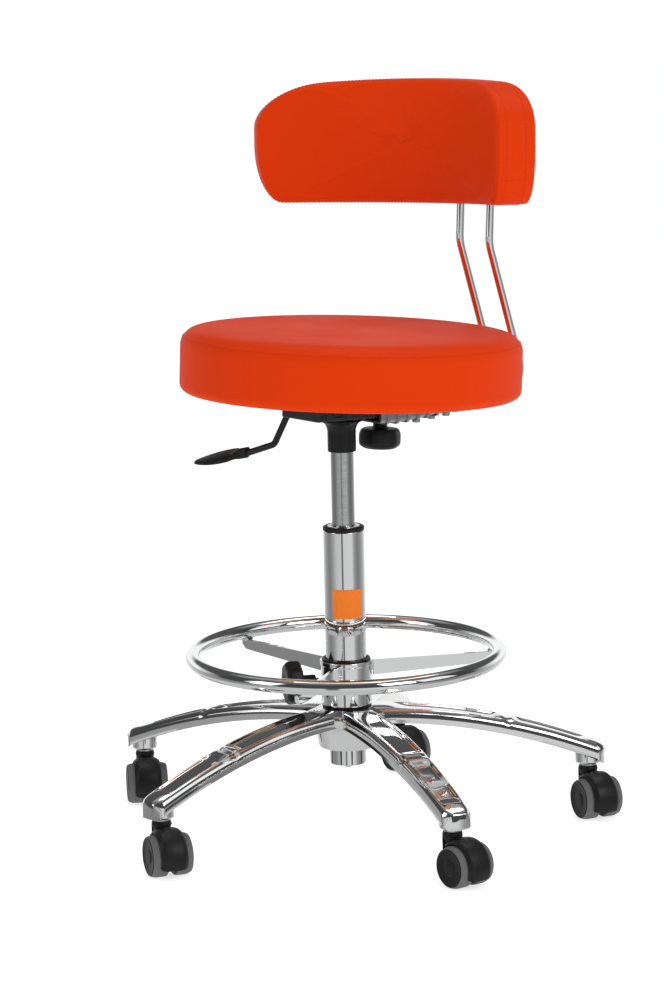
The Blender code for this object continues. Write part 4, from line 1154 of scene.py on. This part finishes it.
    def build_lever(self) -> None:
        """Bent rod with a moulded paddle: a collar that turns into a leaf, widest near its middle.

        The leaf rolls about its length, so its height falls with the distance sideways.
        """
        place = SEAT.turned(self.lever_angle)
        line = arc_path(list(self.lever_path), (0.010, 0.010))
        path = np.column_stack([line[:, 0], np.zeros(len(line)), line[:, 1]])
        rod = swept(path, circle(0.0040, 32), np.array([0, 1.0, 0]))
        make("lever_rod_bent", rod.placed(place), Look.DARK, "lever", ("lever_rod",))
        share = np.concatenate([[0.0, 0.004, 0.02], np.linspace(0.06, 1, 44)])[:, None]
        reach = 0.1285 + 0.0760 * share
        height = 0.4512 - 0.0185 * share
        collar = 1 - smoothstep(0.14, 0.30, share)
        leaf = np.sin(math.pi * np.clip(share, 0, 1) ** 0.85) ** 0.7
        rim = 1 - 0.25 * (1 - smoothstep(0, 0.02, share))
        width = rim * (0.0066 * collar + (1 - collar) * (0.0026 + 0.0134 * leaf))
        depth = rim * (0.0068 * collar + (1 - collar) * (0.0016 + 0.0028 * leaf))
        x, z = (np.sign(side) * np.abs(side) ** 0.75 for side in circle(1.0, 40).T[:, None])
        fall = 0.36 * (1 - collar)
        points = np.stack([reach + 0 * x, width * x, height + depth * z - fall * width * x], axis=-1)
        make("lever_paddle_moulded", grid(points).placed(place), Look.BLACK, "lever",
             ("lever_paddle",))


# ==== casters ====================================================================================
@dataclass
class Caster:
    """Twin-wheel caster with hood, soft treads and black discs."""

    index: int
    wheel: float = 0.0250
    trail: float = 0.0220
    centre_height: float = 0.02484
    inside: float = 0.0047
    width: float = 0.0200

    def build(self) -> None:
        """Make the hood with its barrel and web, and the two wheels."""
        place = caster_place(self.index)
        axle = Place(place.put(np.array([self.trail, 0, self.centre_height])),
                     place.turn @ np.array([[1.0, 0, 0], [0, 0, 1.0], [0, -1.0, 0]]))
        self.build_hood(place)
        for side, word in ((1, "left"), (-1, "right")):
            # the wheel is turned in a frame whose Z runs outward along the axle
            out = Place(axle.origin, place.turn @ np.array([[1.0, 0, 0], [0, 0, side], [0, -1.0, 0]]))
            self.build_wheel(out, word)

    def build_wheel(self, out: Place, word: str) -> None:
        """A soft tread ring with round shoulders on a dished black disc."""
        near, far = self.inside, self.inside + self.width
        rim = 0.0222
        body = f"caster_{self.index}_{word}"
        turned_piece(f"{body}_tread",
                     [(rim, near + 0.0006), (self.wheel - 0.0004, near + 0.0006), (self.wheel, near + 0.0030),
                      (self.wheel, far - 0.0060), (self.wheel - 0.0016, far - 0.0010), (rim + 0.0002, far)],
                     [0.0008, 0.0016, 0.002, 0.0040, 0.0024, 0.0010], Look.TREAD, body,
                     (f"caster_{self.index}_wheel_{word}",), steps=7, sides=72, place=out)
        disc = solid([(0.0004, near + 0.0002), (0.0220, near + 0.0002), (0.0220, far - 0.0002),
                      (0.0210, far + 0.0004), (0.0196, far - 0.0002), (0.0100, far - 0.0012),
                      (0.0090, far - 0.0006), (0.0076, far - 0.0002), (0.0004, far)], 0.0009, 72, steps=4)
        make(f"{body}_disc", disc.placed(out), Look.BLACK, body)

    def build_hood(self, place: Place) -> None:
        """The hood: an arched strip over the wheels, a web between them and a barrel for the stem."""
        reach = self.wheel + 0.0012
        angle = np.linspace(math.radians(-24), math.radians(128), 60)
        path = np.column_stack([self.trail + reach * np.cos(angle), 0 * angle,
                                self.centre_height + reach * np.sin(angle)])
        arch = rounded([(0, -0.0160), (-0.0010, -0.0166), (-0.0048, -0.0124), (-0.0064, 0.0),
                        (-0.0048, 0.0124), (-0.0010, 0.0166), (0, 0.0160), (-0.0003, 0.0)],
                       [0.0004, 0.0012, 0.0055, 0.008, 0.0055, 0.0012, 0.0004, 0.004], steps=6, closed=True)
        parts = [swept(path, arch, np.array([0, 1.0, 0]))]
        middle = reach + 0.0014
        over = np.linspace(math.radians(-20), math.radians(124), 30)
        under = np.linspace(math.radians(124), math.radians(340), 20)
        edge = np.concatenate([np.column_stack([middle * np.cos(over), middle * np.sin(over)]),
                               0.0100 * np.column_stack([np.cos(under), np.sin(under)])])
        rows = []
        for y, size in ((-0.0040, 0.97), (-0.0034, 1.0), (0.0034, 1.0), (0.0040, 0.97)):
            rows.append(np.column_stack([self.trail + edge[:, 0] * size, np.full(len(edge), y),
                                         self.centre_height + edge[:, 1] * size]))
        parts.append(grid(np.stack(rows)))
        turned = solid([(0.0006, 0.0300), (0.0105, 0.0300), (0.0118, 0.0330), (0.0120, 0.0580),
                        (0.0110, 0.0614), (0.0060, 0.0616), (0.0006, 0.0616)], 0.0012, 48)
        # the barrel's back half would stand in the wheels, so its sides are drawn in to the web there
        x, y = turned.points[:, 0], turned.points[:, 1]
        away = np.hypot(x - self.trail, turned.points[:, 2] - self.centre_height)
        inside = (away < reach + 0.0006) & (np.abs(y) > 0.0036)
        turned.points[inside, 1] = np.sign(y[inside]) * 0.0036
        parts.append(turned)
        body = f"caster_{self.index}"
        make(f"{body}_hood_moulded", join(*parts).placed(place), Look.BLACK, body, (f"{body}_hood",))


# ==== carried-over nodes =========================================================================
def dress_nodes() -> None:
    """Give every CAD node that stays visible its finish."""
    finishes = {look.slot: look for look in Look if look not in (Look.THREAD, Look.HOUSING)}
    for part in frame["record"]["subparts"]:
        node = frame["nodes"][part["node"]]
        if node.hide_render:
            continue
        node.data.materials.clear()
        look = Look.HOUSING if part["node"] == "mechanism_housing" else finishes[part["material_slot"]]
        node.data.materials.append(look.material)


# ==== stage ======================================================================================
@dataclass
class Studio:
    """Camera, floor and light."""

    heading: float = math.radians(50)
    distance: float = 4.891
    height: float = 1.2997
    pitch: float = 0.1812
    roll: float = -0.0208
    yaw: float = -0.0027
    lens: float = 148.2
    sensor: float = 36.0
    sky: float = 0.45
    floor_glow: float = 0.66
    surround_glow: float = 1.05
    boxes: tuple = (("key", (1.9, -2.4, 2.0), (1.4, 1.6), 30.0),
                    ("fill", (-2.6, -1.4, 1.5), (1.0, 2.0), 8.0),
                    ("top", (0.2, 0.5, 3.0), (2.0, 2.0), 26.0))
    low_band: tuple = ((0.0, 1.1), (0.083, 0.70), (0.167, 0.34), (0.25, 0.22), (0.311, 0.32), (0.375, 0.55),
                       (0.456, 0.62), (0.462, 0.16), (0.482, 0.16), (0.489, 0.66), (0.622, 0.68),
                       (0.661, 0.34), (0.722, 0.20), (0.819, 0.38), (0.917, 0.80), (1.0, 1.1))
    front_band: tuple = ((0.0, 0.55), (0.30, 0.60), (0.48, 0.50), (0.50, 0.06), (0.84, 0.06), (0.93, 0.14),
                         (0.97, 0.26), (1.0, 0.30))
    back_band: tuple = ((0.0, 0.55), (0.30, 0.62), (0.49, 1.0), (0.62, 1.0), (0.68, 0.10), (0.84, 0.08),
                        (0.90, 0.38), (0.97, 0.36), (1.0, 0.30))

    rear_share: tuple = ((0.0, 1.0), (0.13, 1.0), (0.22, 0.0), (0.78, 0.0), (0.87, 1.0), (1.0, 1.0))
    low_share: tuple = ((0.0, 0.0), (0.24, 0.0), (0.34, 1.0), (0.487, 1.0), (0.50, 0.0), (1.0, 0.0))
    side_heights: tuple = ((0.0, 0.0), (0.60, 0.0), (0.62, 1.0), (0.84, 1.0), (0.86, 0.0), (1.0, 0.0))
    side_bearings: tuple = ((0.0, 0.0), (0.28, 0.0), (0.29, 0.9), (0.35, 0.9), (0.36, 0.0), (0.65, 0.0),
                            (0.66, 0.9), (0.73, 0.9), (0.74, 0.0), (1.0, 0.0))
    nothing: tuple = ((0.0, 0.0), (1.0, 0.0))

    def build(self) -> None:
        """Set the studio up."""
        self.build_camera()
        self.build_floor()
        self.build_surround()
        self.build_lights()

    def build_camera(self) -> None:
        """The camera looks down a little, turned by the heading about the column."""
        cp, sp = math.cos(self.pitch), math.sin(self.pitch)
        cy, sy = math.cos(self.yaw), math.sin(self.yaw)
        ahead = Vector((sy * cp, cy * cp, -sp))
        right = Vector((cy, -sy, 0))
        up = right.cross(ahead)
        cr, sr = math.cos(self.roll), math.sin(self.roll)
        turned_right = cr * right + sr * up
        turned_up = -sr * right + cr * up
        look = Matrix((turned_right, turned_up, -ahead)).transposed()
        spin = Matrix.Rotation(self.heading, 3, "Z")
        spot = spin @ Vector((0, -self.distance, self.height)) + Vector(AXIS)
        data = bpy.data.cameras.new("studio_camera")
        data.sensor_width = self.sensor
        data.lens = self.lens
        data.clip_end = 40
        camera = bpy.data.objects.new("studio_camera", data)
        bpy.context.scene.collection.objects.link(camera)
        camera.matrix_world = Matrix.Translation(spot) @ (spin @ look).to_4x4()
        bpy.context.scene.camera = camera

    def build_floor(self) -> None:
        """A plain pale floor that glows a little, which keeps its shadows faint."""
        span = 30.0
        mesh = bpy.data.meshes.new("studio_floor")
        mesh.from_pydata([(-span, -span, 0), (span, -span, 0), (span, span, 0), (-span, span, 0)], [],
                         [(0, 1, 2, 3)])
        floor = bpy.data.objects.new("studio_floor", mesh)
        bpy.context.scene.collection.objects.link(floor)
        material = new_material("floor_pale", {
            "Base Color": (0.80, 0.80, 0.80, 1), "Roughness": 1.0, "Specular IOR Level": 0.0,
            "Emission Color": (1, 1, 1, 1), "Emission Strength": self.floor_glow})
        mesh.materials.append(material)
        floor.visible_glossy = False

    def dome(self, name: str, radius: float, material: bpy.types.Material) -> bpy.types.Object:
        """A ball round the studio that neither shades nor lights matt surfaces."""
        mesh = bpy.data.meshes.new(name)
        work = bmesh.new()
        bmesh.ops.create_icosphere(work, subdivisions=5, radius=radius)
        work.to_mesh(mesh)
        work.free()
        mesh.polygons.foreach_set("use_smooth", np.ones(len(mesh.polygons), bool))
        mesh.materials.append(material)
        ball = bpy.data.objects.new(name, mesh)
        bpy.context.scene.collection.objects.link(ball)
        ball.visible_diffuse = ball.visible_shadow = ball.visible_transmission = False
        return ball

    def build_surround(self) -> None:
        """A white surround for the camera, and a second one that only reflections see."""
        white = new_material("surround_white", {
            "Base Color": (0, 0, 0, 1), "Specular IOR Level": 0.0, "Emission Color": (1, 1, 1, 1),
            "Emission Strength": self.surround_glow})
        self.dome("surround_white", 25.0, white).visible_glossy = False
        self.dome("surround_reflected", 24.0, self.reflected()).visible_camera = False

    def reflected(self) -> bpy.types.Material:
        """What the metal sees: brightness by direction, in bands of height and bearing.

        Bearing is measured from the camera's side and runs from 0 behind the chair on the left,
        through 0.5 toward the camera, to 1 behind it again. Height is half the sine of the
        elevation plus one half.
        """
        material = new_material("surround_reflected", {
            "Base Color": (0, 0, 0, 1), "Specular IOR Level": 0.0, "Emission Strength": 1.0})
        tree = material.node_tree

        def ramp(stops: tuple, source: bpy.types.NodeSocket) -> bpy.types.NodeSocket:
            node = add_node(tree, "ValToRGB", {"Fac": source})
            elements = node.color_ramp.elements
            for element, (position, value) in zip(elements, (stops[0], stops[-1])):
                element.position, element.color = position, (value, value, value, 1)
            for position, value in stops[1:-1]:
                elements.new(position).color = (value, value, value, 1)
            return node.outputs["Color"]

        def mixed(factor: bpy.types.NodeSocket | float, one: bpy.types.NodeSocket,
                  two: bpy.types.NodeSocket, blend: str = "MIX") -> bpy.types.NodeSocket:
            node = add_node(tree, "Mix", {"Factor": factor, "A": one, "B": two}, data_type="RGBA",
                            blend_type=blend)
            return node.outputs["Result"]

        def math_node(operation: str, *inputs) -> bpy.types.NodeSocket:
            return add_node(tree, "Math", dict(enumerate(inputs)), operation=operation).outputs["Value"]

        coordinates = add_node(tree, "TexCoord")
        unit = add_node(tree, "VectorMath", {0: coordinates.outputs["Object"]}, operation="NORMALIZE")
        split = add_node(tree, "SeparateXYZ", {"Vector": unit.outputs["Vector"]})
        height = math_node("MULTIPLY_ADD", split.outputs["Z"], 0.5, 0.5)
        angle = math_node("ARCTAN2", split.outputs["Y"], split.outputs["X"])
        around = math_node("FRACT", math_node("MULTIPLY_ADD", angle, 1 / TURN,
                                              1.5 + (math.pi / 2 - self.heading) / TURN))
        upper = mixed(ramp(self.rear_share, around), ramp(self.front_band, height),
                      ramp(self.back_band, height))
        both = mixed(ramp(self.low_share, height), upper, ramp(self.low_band, around))
        sides = mixed(ramp(self.side_heights, height), ramp(self.nothing, height),
                      ramp(self.side_bearings, around))
        feed(tree, tree.nodes["Principled BSDF"], {"Emission Color": mixed(1.0, both, sides, "ADD")})
        return material

    def build_lights(self) -> None:
        """Soft boxes that shape the matt surfaces, and an even sky."""
        spin = Matrix.Rotation(self.heading, 4, "Z")
        shift = Matrix.Translation(Vector(AXIS))
        for name, spot, size, power in self.boxes:
            data = bpy.data.lights.new(f"softbox_{name}", "AREA")
            data.shape = "RECTANGLE"
            data.size, data.size_y = size
            data.energy = power
            light = bpy.data.objects.new(f"softbox_{name}", data)
            bpy.context.scene.collection.objects.link(light)
            aim = (Vector((0, 0, 0.5)) - Vector(spot)).to_track_quat("-Z", "Y").to_matrix().to_4x4()
            light.matrix_world = shift @ spin @ Matrix.Translation(spot) @ aim
        world = bpy.data.worlds.new("studio_sky")
        bpy.context.scene.world = world
        world.use_nodes = True
        background = world.node_tree.nodes["Background"]
        background.inputs["Color"].default_value = (1, 1, 1, 1)
        background.inputs["Strength"].default_value = self.sky
        view = bpy.context.scene.view_settings
        view.view_transform = "Standard"
        view.exposure = 0.0


def main() -> None:
    """Build the chair's looks, sub-assembly by sub-assembly."""
    logging.basicConfig(level=logging.INFO, format="%(message)s")
    Studio().build()
    Base().build()
    Column().build()
    FootRing().build()
    Mechanism().build()
    for index in range(1, 6):
        Caster(index).build()
    Seat().build()
    Backrest().build()
    dress_nodes()


if __name__ == "__main__":
    main()
